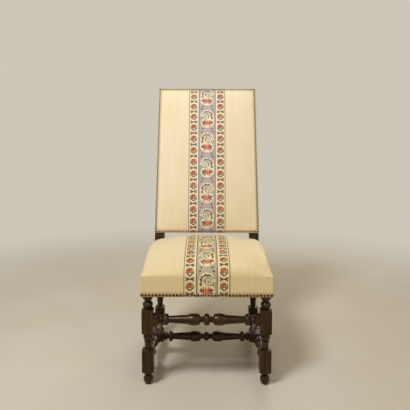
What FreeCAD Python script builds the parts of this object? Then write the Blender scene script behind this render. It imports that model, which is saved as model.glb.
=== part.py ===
import FreeCAD, Part
import math
import os

# A high-back side chair in turned dark wood, with a domed upholstered seat and a tall raked
# upholstered back. A band of needlework runs over the seat and up the middle of the back, and
# brass nails hold the cloth all round. Millimetres, +Z up, the front faces -Y. The origin is on
# the floor, under the middle of the whole chair.

# Plan of the legs
LEG_SQUARE = 44.0  # side of the square timber of all four legs
FRONT_LEG_SPACING = 450.0  # centre to centre, across the front
REAR_LEG_SPACING = 448.0  # centre to centre, across the back
LEG_DEPTH_SPACING = 425.0  # front leg centre to rear leg centre
ARRIS = 2.2  # rounding on the long edges of square timber

# Turned legs, from the floor up
FOOT_PAD_RADIUS = 9.0  # flat that touches the floor
FOOT_BALL_HEIGHT = 37.5
FOOT_BALL_RADIUS = 18.0
FOOT_NECK_HEIGHT = 6.5
FOOT_NECK_RADIUS = 8.0
LOWER_BLOCK_HEIGHT = 97.0
VASE_HEIGHT = 31.5
VASE_FOOT_RADIUS = 12.5
VASE_TOP_RADIUS = 15.0
FILLET_HEIGHT = 2.5  # thin flat between two mouldings
FILLET_RADIUS = 10.5
RING_HEIGHT = 22.0
RING_RADIUS = 18.5
UPPER_BLOCK_HEIGHT = 100.5
BALL_HEIGHT = 23.0
BALL_RADIUS = 20.0
BLOCK_NECK_RADIUS = 12.0  # where a block's rounded end meets the turning
FOOT_SHOULDER = 17.0  # rounded lower end of the lower block
LOWER_SHOULDER = 10.0  # rounded lower end of any other square block
UPPER_SHOULDER = 15.0  # rounded upper end of a square block
CUP_HEIGHT = 23.0  # turned bowl below the square that carries the seat
CUP_RADIUS = 21.8

# Seat frame and its joints
RAIL_HEIGHT = 75.0
RAIL_THICKNESS = 24.0
TENON_LENGTH = 20.0
TENON_THICKNESS = 10.0
TENON_HEIGHT = 48.0
MORTISE_GAP = 0.2
PEG_RADIUS = 3.5
PEG_GAP = 0.1
PEG_PAST_TENON = 6.0

# Stretchers
SOCKET_RADIUS = 9.0  # round tenon in a leg
SOCKET_DEPTH = 20.0
END_BLOCK_LENGTH = 20.0
END_BLOCK_SQUARE = 38.0
COLLAR_LENGTH = 10.0
COLLAR_RADIUS = 17.6
NECK_LENGTH = 6.0
NECK_RADIUS = 10.0
END_BALL_LENGTH = 20.0
END_BALL_RADIUS = 21.8
TAPER_THIN_RADIUS = 12.8
TAPER_THICK_RADIUS = 17.5
GROOVE_LENGTH = 2.0  # between the taper and the bulge
GROOVE_RADIUS = 15.5
BULGE_LENGTH = 37.0
BULGE_RADIUS = 22.4
BULGE_INNER_RADIUS = 20.6  # where it falls to the waist
BULGE_OUTER_RADIUS = 19.4  # where it meets the groove
BULGE_SHOULDER = 8.0  # quick rise from the waist to the bulge
WAIST_LENGTH = 4.0
WAIST_BEAD_LENGTH = 5.0
WAIST_BEAD_RADIUS = 13.0
CENTRE_BALL_LENGTH = 23.0
CENTRE_BALL_RADIUS = 22.6  # of the front stretcher
CROSS_BALL_RADIUS = 19.5  # of the cross stretcher
FRONT_STRETCHER_RISE = 4.5  # above the middle of the upper block
LOW_STRETCHER_DROP = 4.5  # below the middle of the lower block
SIDE_BLOCK_LENGTH = 52.0  # square in the middle of a side stretcher

# Back frame
RAKE_DEG = 12.8
BEND_ABOVE_RAIL = 14.0  # where the posts start to lean, above the seat rails
POST_DEPTH = 36.0  # front to back, above the bend
POST_TOP_SPACING = 428.0  # centre to centre, at the top
BACK_GAP = 63.5  # bare post between the bend and the back panel
BACK_HEIGHT = 704.5  # of the panel, along the posts
BACK_RAIL_HEIGHT = 56.0
BACK_TENON_HEIGHT = 34.0

# Cloth, stuffing and webbing
CLOTH = 1.6  # thickness of the cover
CLOTH_GAP = 0.5  # between the cover and the wood
STUFFING_GAP = 0.3
POST_NOTCH_GAP = 0.6  # cloth and stuffing to a post
WEB_WIDTH = 52.0
WEB_THICKNESS = 1.6
SEAT_WEB_INSET = 5.0  # web ends short of the frame's outer edge
BACK_WEB_INSET = 21.0
WEB_LANDING = 21.0  # length of a crossing web that lies on the wood
WEB_RAMP = 14.0
HESSIAN_THICKNESS = 1.0
SEAT_HESSIAN_INSET = 6.0
BACK_HESSIAN_INSET = 32.0
SEAT_WEBS_LENGTHWISE = 4
SEAT_WEBS_CROSSWISE = 4
BACK_WEBS_UPRIGHT = 3
BACK_WEBS_CROSSWISE = 6
BAND_WIDTH = 175.0  # needlework band

# Crown of the seat, above the top of the rails
SEAT_CROWN = 90.0
SEAT_ROLL = 22.0  # width of the rolled side edge
# share of the way back, then shares of the crown: at the middle, at the roll, at the side edge
SEAT_SECTION_SHARES = (
    (0.0, 0.22, 0.13, 0.085),
    (0.022, 0.37, 0.235, 0.11),
    (0.055, 0.52, 0.34, 0.14),
    (0.105, 0.655, 0.445, 0.18),
    (0.227, 0.81, 0.56, 0.245),
    (0.349, 0.905, 0.625, 0.285),
    (0.474, 0.975, 0.66, 0.3),
    (0.607, 1.0, 0.665, 0.3),
    (0.76, 0.93, 0.635, 0.29),
    (0.847, 0.83, 0.58, 0.275),
    (0.924, 0.67, 0.49, 0.24),
    (0.967, 0.51, 0.385, 0.2),
    (1.0, 0.3, 0.22, 0.14),
)

# Crown of the back panel, in front of the posts
BACK_CROWN = 27.0
BACK_SHOULDER = 20.0
BACK_ROLL = 46.0  # width of the rolled side edge
BACK_MARGIN = 13.5  # flat border that carries the nails
BACK_FLAT_SHARE = 0.012  # the border is all but flat
# share of the panel's way between its two borders, then the share of the full crown
BACK_SECTION_SHARES = (
    (0.012, 0.42),
    (0.032, 0.68),
    (0.07, 0.86),
    (0.15, 0.96),
    (0.32, 1.0),
    (0.68, 1.0),
    (0.85, 0.96),
    (0.93, 0.86),
    (0.968, 0.68),
    (0.988, 0.42),
)

# Brass nails
NAIL_HEAD_RADIUS = 4.7
NAIL_HEAD_HEIGHT = 2.6
NAIL_SHANK_RADIUS = 0.9
NAIL_SHANK_LENGTH = 13.0
NAIL_PITCH = 13.1
NAIL_EDGE = 6.4  # nail centre to the edge of the cloth

OVERRUN = 5.0  # how far a cutting tool runs past what it cuts

# Outline shares: where a curve's middle point lies, along it and out from it
SHOULDER_HEIGHT_SHARE = 0.3
SHOULDER_RADIUS_SHARE = 0.66
FOOT_BELLY_SHARE = 0.34
VASE_MID_SHARE = 0.3
CUP_MID_SHARE = 0.8
BULGE_CREST_SHARE = 0.45
BULGE_RISE_SHARE = 0.72
ROLL_MID_SHARE = 0.29
ROLL_RISE_SHARE = 0.71
BACK_ROLL_MID_SHARE = 0.3
BACK_ROLL_RISE_SHARE = 0.68

# Heights and places that follow from the sizes above
HALF_LEG = LEG_SQUARE / 2
LOWER_BLOCK_BASE = FOOT_BALL_HEIGHT + FOOT_NECK_HEIGHT
UPPER_BLOCK_BASE = LOWER_BLOCK_BASE + LOWER_BLOCK_HEIGHT + VASE_HEIGHT + RING_HEIGHT + 2 * FILLET_HEIGHT
CUP_BASE = UPPER_BLOCK_BASE + UPPER_BLOCK_HEIGHT + BALL_HEIGHT + 2 * FILLET_HEIGHT
RAIL_BASE = CUP_BASE + CUP_HEIGHT
RAIL_TOP = RAIL_BASE + RAIL_HEIGHT
RAIL_MID = RAIL_BASE + RAIL_HEIGHT / 2
RAIL_TENON_OFFSET = HALF_LEG - RAIL_THICKNESS / 2  # tenons lie in the middle of the rails
LOW_STRETCHER_Z = LOWER_BLOCK_BASE + LOWER_BLOCK_HEIGHT / 2 - LOW_STRETCHER_DROP
FRONT_STRETCHER_Z = UPPER_BLOCK_BASE + UPPER_BLOCK_HEIGHT / 2 + FRONT_STRETCHER_RISE
FRONT_X = FRONT_LEG_SPACING / 2
REAR_X = REAR_LEG_SPACING / 2
POST_FRONT_Y = LEG_DEPTH_SPACING - HALF_LEG
POST_REAR_Y = LEG_DEPTH_SPACING + HALF_LEG
BEND_Z = RAIL_TOP + BEND_ABOVE_RAIL
RAKE = math.radians(RAKE_DEG)
BACK_TOP = BACK_GAP + BACK_HEIGHT  # along the rake, from the bend
LEAN = (REAR_X - POST_TOP_SPACING / 2) / (BACK_TOP * math.cos(RAKE))  # posts draw in as they rise
COVER_OUT = CLOTH + CLOTH_GAP  # outer face of the cloth, out from the wood
STUFFING_INSET = CLOTH + STUFFING_GAP
SEAT_FRONT_Y = -HALF_LEG - COVER_OUT
SEAT_REAR_Y = POST_REAR_Y + COVER_OUT
WEB_STACK = 2 * WEB_THICKNESS
HESSIAN_TOP = WEB_STACK + HESSIAN_THICKNESS
UP = FreeCAD.Vector(0, 0, 1)
BACK_PLACEMENT = FreeCAD.Placement(
    FreeCAD.Vector(0, POST_FRONT_Y, BEND_Z),
    FreeCAD.Rotation(FreeCAD.Vector(1, 0, 0), 90 - RAKE_DEG),
)


def box(low, high):
    size = [high[i] - low[i] for i in range(3)]
    return Part.makeBox(*size, FreeCAD.Vector(*low))


def block_at(centre, size):
    low = [centre[i] - size[i] / 2 for i in range(3)]
    high = [centre[i] + size[i] / 2 for i in range(3)]
    return box(low, high)


def fused(shapes):
    whole = shapes[0].fuse(shapes[1:])
    return whole.removeSplitter()


def mirrored(shape):
    return shape.mirror(FreeCAD.Vector(0, 0, 0), FreeCAD.Vector(1, 0, 0))


def both_sides(shapes):
    return list(shapes) + [mirrored(shape) for shape in shapes]


def placed(shape, at, direction):
    """A shape made along +Z from its base, laid along a direction and kept level."""
    axis = FreeCAD.Vector(*direction).normalize()
    level = UP
    if abs(axis.dot(UP)) > math.cos(RAKE):
        level = FreeCAD.Vector(0, 1, 0)
    turn = FreeCAD.Rotation(level.cross(axis), level, axis, "ZYX")
    moved = shape.copy()
    moved.Placement = FreeCAD.Placement(FreeCAD.Vector(*at), turn)
    return moved


def in_back_frame(shape):
    """Moves a shape from the back's own frame (X across, Y up the rake, Z out of its front)."""
    moved = shape.copy()
    moved.Placement = BACK_PLACEMENT.multiply(moved.Placement)
    return moved


def ring_wire(points):
    vectors = [FreeCAD.Vector(*point) for point in points]
    return Part.makePolygon(vectors + vectors[:1])


def lofted(rings):
    """A solid with flat sides through rings of the same number of corners."""
    return Part.makeLoft([ring_wire(ring) for ring in rings], True, True)


class Turning:
    """A turned profile, built upwards from its base, with the lengths that stay square."""

    def __init__(self, radius):
        self.height = 0.0
        self.radius = radius
        self.edges = [Part.makeLine(self.point(0, 0), self.point(0, radius))]
        self.squares = []

    def point(self, height, radius):
        return FreeCAD.Vector(radius, 0, height)

    def step(self, radius):
        here = self.point(self.height, self.radius)
        if abs(radius - self.radius) > 0:
            self.edges.append(Part.makeLine(here, self.point(self.height, radius)))
        self.radius = radius

    def line(self, rise, radius):
        here = self.point(self.height, self.radius)
        self.height += rise
        self.edges.append(Part.makeLine(here, self.point(self.height, radius)))
        self.radius = radius

    def arc(self, rise, radius, mid_radius, mid_share=0.5):
        here = self.point(self.height, self.radius)
        middle = self.point(self.height + rise * mid_share, mid_radius)
        self.height += rise
        self.edges.append(Part.Arc(here, middle, self.point(self.height, radius)).toShape())
        self.radius = radius

    def flat(self, rise, radius):
        self.step(radius)
        self.line(rise, radius)

    def bead(self, rise, crest, foot):
        self.step(foot)
        self.arc(rise, foot, crest)

    def half_bead(self, half_rise, crest, foot):
        """The upper half of a bead, from its crest down to its foot."""
        centre = (crest ** 2 - foot ** 2 - half_rise ** 2) / (2 * (crest - foot))
        middle = centre + math.sqrt((crest - centre) ** 2 - (half_rise / 2) ** 2)
        self.arc(half_rise, foot, middle)

    def square(self, rise, side, lower=0.0, upper=0.0):
        """A length left square. Its ends are turned round where they have a shoulder."""
        corner = side / math.sqrt(2) + ARRIS
        base = self.height
        if lower:
            rounding = self.radius + (corner - self.radius) * SHOULDER_RADIUS_SHARE
            self.arc(lower, corner, rounding, SHOULDER_HEIGHT_SHARE)
        self.step(corner)
        self.line(rise - lower - upper, corner)
        if upper:
            rounding = BLOCK_NECK_RADIUS + (corner - BLOCK_NECK_RADIUS) * SHOULDER_RADIUS_SHARE
            self.arc(upper, BLOCK_NECK_RADIUS, rounding, 1 - SHOULDER_HEIGHT_SHARE)
        self.squares.append((base, self.height, side))

    def solid(self):
        top = self.point(self.height, self.radius)
        axis = self.point(self.height, 0)
        self.edges.append(Part.makeLine(top, axis))
        self.edges.append(Part.makeLine(axis, self.point(0, 0)))
        face = Part.Face(Part.Wire(self.edges))
        shape = face.revolve(FreeCAD.Vector(0, 0, 0), UP, 360)
        for base, top, side in self.squares:
            shape = shape.cut(outside_of_square(base, top, side))
        return shape


def outside_of_square(base, top, side):
    """What is sawn and planed off round a square length of a turned timber."""
    bar = box((-side / 2, -side / 2, base), (side / 2, side / 2, top))
    long_edges = [edge for edge in bar.Edges if edge.Vertexes[0].Z != edge.Vertexes[1].Z]
    around = Part.makeCylinder(side, top - base, FreeCAD.Vector(0, 0, base))
    return around.cut(bar.makeFillet(ARRIS, long_edges))


def turned_lower_leg():
    """What all four legs share: the ball foot, the lower block, the vase and the ring."""
    turning = Turning(FOOT_PAD_RADIUS)
    turning.arc(FOOT_BALL_HEIGHT, FOOT_NECK_RADIUS, FOOT_BALL_RADIUS, FOOT_BELLY_SHARE)
    turning.line(FOOT_NECK_HEIGHT, BLOCK_NECK_RADIUS)
    turning.square(LOWER_BLOCK_HEIGHT, LEG_SQUARE, FOOT_SHOULDER, UPPER_SHOULDER)
    turning.step(VASE_FOOT_RADIUS)
    vase_mid = VASE_FOOT_RADIUS + (VASE_TOP_RADIUS - VASE_FOOT_RADIUS) * VASE_MID_SHARE
    turning.arc(VASE_HEIGHT, VASE_TOP_RADIUS, vase_mid)
    turning.flat(FILLET_HEIGHT, FILLET_RADIUS)
    turning.bead(RING_HEIGHT, RING_RADIUS, FILLET_RADIUS)
    turning.flat(FILLET_HEIGHT, BLOCK_NECK_RADIUS)
    return turning


def front_leg():
    turning = turned_lower_leg()
    turning.square(UPPER_BLOCK_HEIGHT, LEG_SQUARE, LOWER_SHOULDER, UPPER_SHOULDER)
    turning.flat(FILLET_HEIGHT, FILLET_RADIUS)
    turning.bead(BALL_HEIGHT, BALL_RADIUS, FILLET_RADIUS)
    turning.flat(FILLET_HEIGHT, FILLET_RADIUS)
    cup_mid = FILLET_RADIUS + (CUP_RADIUS - FILLET_RADIUS) * CUP_MID_SHARE
    turning.arc(CUP_HEIGHT, CUP_RADIUS, cup_mid)
    turning.square(RAIL_HEIGHT, LEG_SQUARE)
    leg = turning.solid()
    leg.translate(FreeCAD.Vector(FRONT_X, 0, 0))
    return leg


def up_the_rake(height, depth):
    """World Y and Z of a point up the rake from the bend and behind the posts' front face."""
    y = POST_FRONT_Y + height * math.sin(RAKE) + depth * math.cos(RAKE)
    z = BEND_Z + height * math.cos(RAKE) - depth * math.sin(RAKE)
    return y, z


def leaning(side, y, z):
    """A corner of the right post, on its inner (-1) or outer (1) face."""
    return (REAR_X + side * HALF_LEG - LEAN * (z - BEND_Z), y, z)


def post_outer(height):
    """Half the width over both posts, up the rake."""
    return REAR_X + HALF_LEG - LEAN * height * math.cos(RAKE)


def post_ring(front, rear):
    return [leaning(-1, *front), leaning(1, *front), leaning(1, *rear), leaning(-1, *rear)]


def rear_leg():
    """One timber: turned below, square at the seat, and raked above it."""
    turning = turned_lower_leg()
    turning.square(BEND_Z - UPPER_BLOCK_BASE, LEG_SQUARE, LOWER_SHOULDER)
    lower = turning.solid()
    lower.translate(FreeCAD.Vector(REAR_X, LEG_DEPTH_SPACING, 0))
    heel_rise = (LEG_SQUARE - POST_DEPTH / math.cos(RAKE)) / math.tan(RAKE)
    heel_z = BEND_Z + heel_rise
    rings = [
        post_ring((POST_FRONT_Y, BEND_Z), (POST_REAR_Y, BEND_Z)),
        post_ring((POST_FRONT_Y + heel_rise * math.tan(RAKE), heel_z), (POST_REAR_Y, heel_z)),
        post_ring(up_the_rake(BACK_TOP, 0), up_the_rake(BACK_TOP, POST_DEPTH)),
    ]
    return lower.fuse(lofted(rings))


def half_stretcher(free_half, ball_radius):
    """Half of a stretcher, from its ball or block outwards, and the round tenon at its end."""
    if ball_radius:
        turning = Turning(ball_radius)
        turning.half_bead(CENTRE_BALL_LENGTH / 2, ball_radius, NECK_RADIUS)
        turning.line(WAIST_LENGTH, NECK_RADIUS)
        turning.bead(WAIST_BEAD_LENGTH, WAIST_BEAD_RADIUS, NECK_RADIUS)
    else:
        turning = Turning(NECK_RADIUS)
        turning.square(SIDE_BLOCK_LENGTH / 2, LEG_SQUARE, upper=LOWER_SHOULDER)
    turning.flat(WAIST_LENGTH, NECK_RADIUS)
    rise = NECK_RADIUS + (BULGE_INNER_RADIUS - NECK_RADIUS) * BULGE_RISE_SHARE
    turning.arc(BULGE_SHOULDER, BULGE_INNER_RADIUS, rise, 1 - BULGE_RISE_SHARE)
    turning.arc(BULGE_LENGTH, BULGE_OUTER_RADIUS, BULGE_RADIUS, BULGE_CREST_SHARE)
    turning.flat(GROOVE_LENGTH, GROOVE_RADIUS)
    turning.step(TAPER_THICK_RADIUS)
    outer = END_BALL_LENGTH + NECK_LENGTH + COLLAR_LENGTH + FILLET_HEIGHT + END_BLOCK_LENGTH
    turning.line(free_half - outer - turning.height, TAPER_THIN_RADIUS)
    turning.bead(END_BALL_LENGTH, END_BALL_RADIUS, TAPER_THIN_RADIUS)
    turning.flat(NECK_LENGTH, NECK_RADIUS)
    turning.bead(COLLAR_LENGTH, COLLAR_RADIUS, NECK_RADIUS)
    turning.flat(FILLET_HEIGHT, BLOCK_NECK_RADIUS)
    turning.square(END_BLOCK_LENGTH + OVERRUN, END_BLOCK_SQUARE, LOWER_SHOULDER)
    tenon_base = FreeCAD.Vector(0, 0, free_half - OVERRUN)
    tenon = Part.makeCylinder(SOCKET_RADIUS, SOCKET_DEPTH + OVERRUN, tenon_base)
    return turning.solid(), tenon


def stretcher_between(start, end, ball_radius, trim):
    """A stretcher between two faces, its ends cut to those faces, with its round tenons."""
    start = FreeCAD.Vector(*start)
    end = FreeCAD.Vector(*end)
    middle = (start + end) * 0.5
    half, tenon = half_stretcher(start.distanceToPoint(end) / 2, ball_radius)
    towards = end - start
    halves = [placed(half, middle, towards), placed(half, middle, towards * -1)]
    tenons = [placed(tenon, middle, towards), placed(tenon, middle, towards * -1)]
    return fused([fused(halves).common(trim)] + tenons)


def socket(at, direction):
    """The hole for a stretcher's round tenon, from just outside a face inwards."""
    depth = SOCKET_DEPTH + MORTISE_GAP
    hole = Part.makeCylinder(SOCKET_RADIUS + MORTISE_GAP, depth + OVERRUN, UP * -OVERRUN)
    return placed(hole, at, direction)


def side_stretcher_ends():
    return (FRONT_X, HALF_LEG, LOW_STRETCHER_Z), (REAR_X, POST_FRONT_Y, LOW_STRETCHER_Z)


def side_stretcher():
    reach = LEG_DEPTH_SPACING
    between = box((-reach, HALF_LEG, 0), (reach, POST_FRONT_Y, RAIL_BASE))
    start, end = side_stretcher_ends()
    return stretcher_between(start, end, None, between)


def front_stretcher():
    face_x = FRONT_X - HALF_LEG
    between = box((-face_x, -LEG_SQUARE, 0), (face_x, LEG_SQUARE, RAIL_BASE))
    start = (-face_x, 0, FRONT_STRETCHER_Z)
    end = (face_x, 0, FRONT_STRETCHER_Z)
    return stretcher_between(start, end, CENTRE_BALL_RADIUS, between)


def cross_stretcher_end():
    """Where the cross stretcher's axis meets the right side stretcher's block, and its angle."""
    start, end = side_stretcher_ends()
    angle = math.atan2(start[0] - end[0], end[1] - start[1])
    axis_x = (start[0] + end[0]) / 2
    return (axis_x - HALF_LEG / math.cos(angle), (start[1] + end[1]) / 2, LOW_STRETCHER_Z), angle


def cross_stretcher():
    end, angle = cross_stretcher_end()
    start = (-end[0], end[1], end[2])
    slope = math.tan(angle) * LEG_SQUARE
    plan = [(end[0] + slope, end[1] - LEG_SQUARE, 0), (end[0] - slope, end[1] + LEG_SQUARE, 0)]
    plan += [(-x, y, z) for x, y, z in reversed(plan)]
    between = Part.Face(ring_wire(plan)).extrude(FreeCAD.Vector(0, 0, RAIL_BASE))
    return stretcher_between(start, end, CROSS_BALL_RADIUS, between)


def rail_tenons():
    """Centre and size of the four seat-rail tenons of the right side, by the rail's end."""
    lengthwise = (TENON_THICKNESS, TENON_LENGTH, TENON_HEIGHT)
    crosswise = (TENON_LENGTH, TENON_THICKNESS, TENON_HEIGHT)
    inner = HALF_LEG - TENON_LENGTH / 2
    offset = RAIL_TENON_OFFSET
    return {
        "front": ((FRONT_X - inner, -offset, RAIL_MID), crosswise),
        "side_front": ((FRONT_X + offset, inner, RAIL_MID), lengthwise),
        "side_rear": ((REAR_X + offset, LEG_DEPTH_SPACING - inner, RAIL_MID), lengthwise),
        "rear": ((REAR_X - inner, LEG_DEPTH_SPACING + offset, RAIL_MID), crosswise),
    }


def tenon_block(name, gap=0.0):
    """A seat-rail tenon, grown by a gap to make its mortise."""
    centre, size = rail_tenons()[name]
    return block_at(centre, [length + 2 * gap for length in size])


def cross_rail(name, face_x, front_y, rear_y):
    """The front or the rear seat rail, with a tenon at each end."""
    body = box((-face_x, front_y, RAIL_BASE), (face_x, rear_y, RAIL_TOP))
    return fused([body] + both_sides([tenon_block(name)]))


def side_rail():
    """The right seat rail: the seat narrows from front to rear."""
    front_outer = FRONT_X + HALF_LEG
    rear_outer = REAR_X + HALF_LEG
    plan = [
        (front_outer - RAIL_THICKNESS, HALF_LEG, RAIL_BASE),
        (front_outer, HALF_LEG, RAIL_BASE),
        (rear_outer, POST_FRONT_Y, RAIL_BASE),
        (rear_outer - RAIL_THICKNESS, POST_FRONT_Y, RAIL_BASE),
    ]
    body = Part.Face(ring_wire(plan)).extrude(FreeCAD.Vector(0, 0, RAIL_HEIGHT))
    return fused([body, tenon_block("side_front"), tenon_block("side_rear")])


def back_rail_base(name):
    if name == "bottom":
        return BACK_GAP
    return BACK_TOP - BACK_RAIL_HEIGHT


def back_tenon(name, gap=0.0):
    """A back rail's right tenon, grown by a gap to make its mortise."""
    middle = back_rail_base(name) + BACK_RAIL_HEIGHT / 2
    inner = post_outer(middle) - LEG_SQUARE
    half_height = BACK_TENON_HEIGHT / 2 + gap
    half_thickness = TENON_THICKNESS / 2 + gap
    low = (inner - OVERRUN, middle - half_height, -POST_DEPTH / 2 - half_thickness)
    high = (inner + TENON_LENGTH + gap, middle + half_height, -POST_DEPTH / 2 + half_thickness)
    return in_back_frame(box(low, high))


def back_rail(name):
    base = back_rail_base(name)
    rings = []
    for height in (base, base + BACK_RAIL_HEIGHT):
        right = [leaning(-1, *up_the_rake(height, depth)) for depth in (0, POST_DEPTH)]
        rings.append(right + [(-x, y, z) for x, y, z in reversed(right)])
    return fused([lofted(rings)] + both_sides([back_tenon(name)]))


def peg_lines():
    """Start, direction and length of each peg of the right side."""
    tenons = rail_tenons()
    reach = (RAIL_THICKNESS + TENON_THICKNESS) / 2 + PEG_PAST_TENON
    lines = [
        ((tenons["front"][0][0], -HALF_LEG, RAIL_MID), (0, 1, 0), reach),
        ((FRONT_X + HALF_LEG, tenons["side_front"][0][1], RAIL_MID), (-1, 0, 0), reach),
        ((REAR_X + HALF_LEG, tenons["side_rear"][0][1], RAIL_MID), (-1, 0, 0), reach),
        ((tenons["rear"][0][0], POST_REAR_Y, RAIL_MID), (0, -1, 0), reach),
    ]
    inwards = (0, math.cos(RAKE), -math.sin(RAKE))
    back_reach = (POST_DEPTH + TENON_THICKNESS) / 2 + PEG_PAST_TENON
    for name in ("bottom", "top"):
        middle = back_rail_base(name) + BACK_RAIL_HEIGHT / 2
        y, z = up_the_rake(middle, 0)
        x = post_outer(middle) - LEG_SQUARE + TENON_LENGTH / 2
        lines.append(((x, y, z), inwards, back_reach))
    return lines


def pegs(gap=0.0):
    """The pegs of the right side, grown by a gap to make their holes."""
    return [
        placed(Part.makeCylinder(PEG_RADIUS + gap, length + gap), start, direction)
        for start, direction, length in peg_lines()
    ]


def right_side_timbers(holes):
    """The legs, side rail and side stretcher of the right side, with their joints cut."""
    start, end = side_stretcher_ends()
    along = [end[i] - start[i] for i in range(3)]
    front_face = FRONT_X - HALF_LEG
    leg = front_leg().cut([tenon_block(name, MORTISE_GAP) for name in ("front", "side_front")])
    leg_sockets = [
        socket((front_face, 0, FRONT_STRETCHER_Z), (1, 0, 0)),
        socket(start, [-length for length in along]),
    ]
    post = rear_leg().cut([tenon_block(name, MORTISE_GAP) for name in ("rear", "side_rear")])
    post_sockets = [back_tenon(name, MORTISE_GAP) for name in ("bottom", "top")] + [socket(end, along)]
    cross_end = cross_stretcher_end()[0]
    return {
        "front_leg_": leg.cut(leg_sockets).cut(holes),
        "rear_post_": post.cut(post_sockets).cut(holes),
        "seat_rail_": side_rail().cut(holes),
        "side_stretcher_": side_stretcher().cut(socket(cross_end, (1, 0, 0))),
    }


def wooden_frame():
    """Every timber of the chair and the pegs that lock its joints."""
    holes = Part.makeCompound(pegs(PEG_GAP))
    all_holes = Part.makeCompound(both_sides(pegs(PEG_GAP)))
    nodes = {}
    for name, timber in right_side_timbers(holes).items():
        nodes[name + "right"] = timber
        nodes[name + "left"] = mirrored(timber)
    nodes["cross_stretcher"] = cross_stretcher()
    nodes["front_stretcher"] = front_stretcher()
    rail_rear = RAIL_THICKNESS - HALF_LEG
    front_rail = cross_rail("front", FRONT_X - HALF_LEG, -HALF_LEG, rail_rear)
    rear_rail = cross_rail("rear", REAR_X - HALF_LEG, POST_REAR_Y - RAIL_THICKNESS, POST_REAR_Y)
    nodes["seat_rail_front"] = front_rail.cut(all_holes)
    nodes["seat_rail_rear"] = rear_rail.cut(all_holes)
    for name in ("bottom", "top"):
        nodes["back_rail_" + name] = back_rail(name).cut(all_holes)
    nodes["joint_pegs"] = Part.makeCompound(both_sides(pegs()))
    return nodes


def spread(low, high, count):
    """Centres of a number of equal strips, spread evenly over a length."""
    return [low + (high - low) * (i + 1 / 2) / count for i in range(count)]


def crossing_web(half_length, centre):
    """A web that lies on wood at both ends, and over the other webs between them."""
    ramp_start = half_length - WEB_LANDING
    ramp_end = ramp_start - WEB_RAMP
    over = [(half_length, 0), (half_length, WEB_THICKNESS), (ramp_start, WEB_THICKNESS), (ramp_end, WEB_STACK)]
    under = [(ramp_start, 0), (ramp_end, WEB_THICKNESS)]
    outline = over + [(-x, z) for x, z in reversed(over)]
    outline += [(-x, z) for x, z in under] + list(reversed(under))
    face = Part.Face(ring_wire([(x, centre - WEB_WIDTH / 2, z) for x, z in outline]))
    return face.extrude(FreeCAD.Vector(0, WEB_WIDTH, 0))


def seat_webbing():
    inner = REAR_X - HALF_LEG
    front = SEAT_WEB_INSET - HALF_LEG
    rear = POST_REAR_Y - SEAT_WEB_INSET
    lengthwise = []
    for x in spread(-inner, inner, SEAT_WEBS_LENGTHWISE):
        low = (x - WEB_WIDTH / 2, front, RAIL_TOP)
        lengthwise.append(box(low, (x + WEB_WIDTH / 2, rear, RAIL_TOP + WEB_THICKNESS)))
    crosswise = []
    for y in spread(HALF_LEG, POST_FRONT_Y, SEAT_WEBS_CROSSWISE):
        web = crossing_web(REAR_X + HALF_LEG - SEAT_WEB_INSET, y)
        web.translate(UP * RAIL_TOP)
        crosswise.append(web)
    return Part.makeCompound(lengthwise), Part.makeCompound(crosswise)


def back_webbing():
    inner = post_outer(BACK_TOP) - LEG_SQUARE - WEB_RAMP
    low = BACK_GAP + BACK_WEB_INSET
    high = BACK_TOP - BACK_WEB_INSET
    upright = []
    for x in spread(-inner, inner, BACK_WEBS_UPRIGHT):
        strip = box((x - WEB_WIDTH / 2, low, 0), (x + WEB_WIDTH / 2, high, WEB_THICKNESS))
        upright.append(in_back_frame(strip))
    crosswise = []
    for y in spread(BACK_GAP + BACK_RAIL_HEIGHT, BACK_TOP - BACK_RAIL_HEIGHT, BACK_WEBS_CROSSWISE):
        web = crossing_web(post_outer(BACK_TOP) - BACK_WEB_INSET, y)
        crosswise.append(in_back_frame(web))
    return Part.makeCompound(upright), Part.makeCompound(crosswise)


def post_notches():
    """The room that the rear posts take out of the seat's soft layers."""
    inner = REAR_X - HALF_LEG - POST_NOTCH_GAP
    front = POST_FRONT_Y - POST_NOTCH_GAP
    reach = FRONT_LEG_SPACING
    notch = box((inner, front, 0), (reach, front + reach, RAIL_TOP + SEAT_CROWN + OVERRUN))
    return both_sides([notch])


def seat_hessian():
    """Sacking over the webs, under the stuffing."""
    front_half = FRONT_X + HALF_LEG - SEAT_HESSIAN_INSET
    rear_half = REAR_X + HALF_LEG - SEAT_HESSIAN_INSET
    front = SEAT_HESSIAN_INSET - HALF_LEG
    rear = POST_REAR_Y - SEAT_HESSIAN_INSET
    plan = [(-front_half, front), (front_half, front), (rear_half, rear), (-rear_half, rear)]
    face = Part.Face(ring_wire([(x, y, RAIL_TOP + WEB_STACK) for x, y in plan]))
    return face.extrude(UP * HESSIAN_THICKNESS).cut(post_notches())


def back_hessian():
    """A sheet as wide as the top of the back allows, over the back's webs."""
    half = post_outer(BACK_TOP) - BACK_HESSIAN_INSET
    low = (-half, BACK_GAP + BACK_HESSIAN_INSET, WEB_STACK)
    return in_back_frame(box(low, (half, BACK_TOP - BACK_HESSIAN_INSET, HESSIAN_TOP)))


def section_wire(right_side, crown_top, roll_mid):
    """A closed section from its right side's corners, its crown and the middle of its roll."""
    right = [FreeCAD.Vector(*point) for point in right_side]
    left = [FreeCAD.Vector(-point.x, point.y, point.z) for point in right]
    roll = FreeCAD.Vector(*roll_mid)
    left_roll = FreeCAD.Vector(-roll.x, roll.y, roll.z)
    edges = [Part.makeLine(left[0], right[0])]
    edges += [Part.makeLine(a, b) for a, b in zip(right[:-2], right[1:-1])]
    edges.append(Part.Arc(right[-2], roll, right[-1]).toShape())
    edges.append(Part.Arc(right[-1], FreeCAD.Vector(*crown_top), left[-1]).toShape())
    edges.append(Part.Arc(left[-1], left_roll, left[-2]).toShape())
    edges += [Part.makeLine(b, a) for a, b in reversed(list(zip(left[:-2], left[1:-1])))]
    return Part.Wire(edges)


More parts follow.
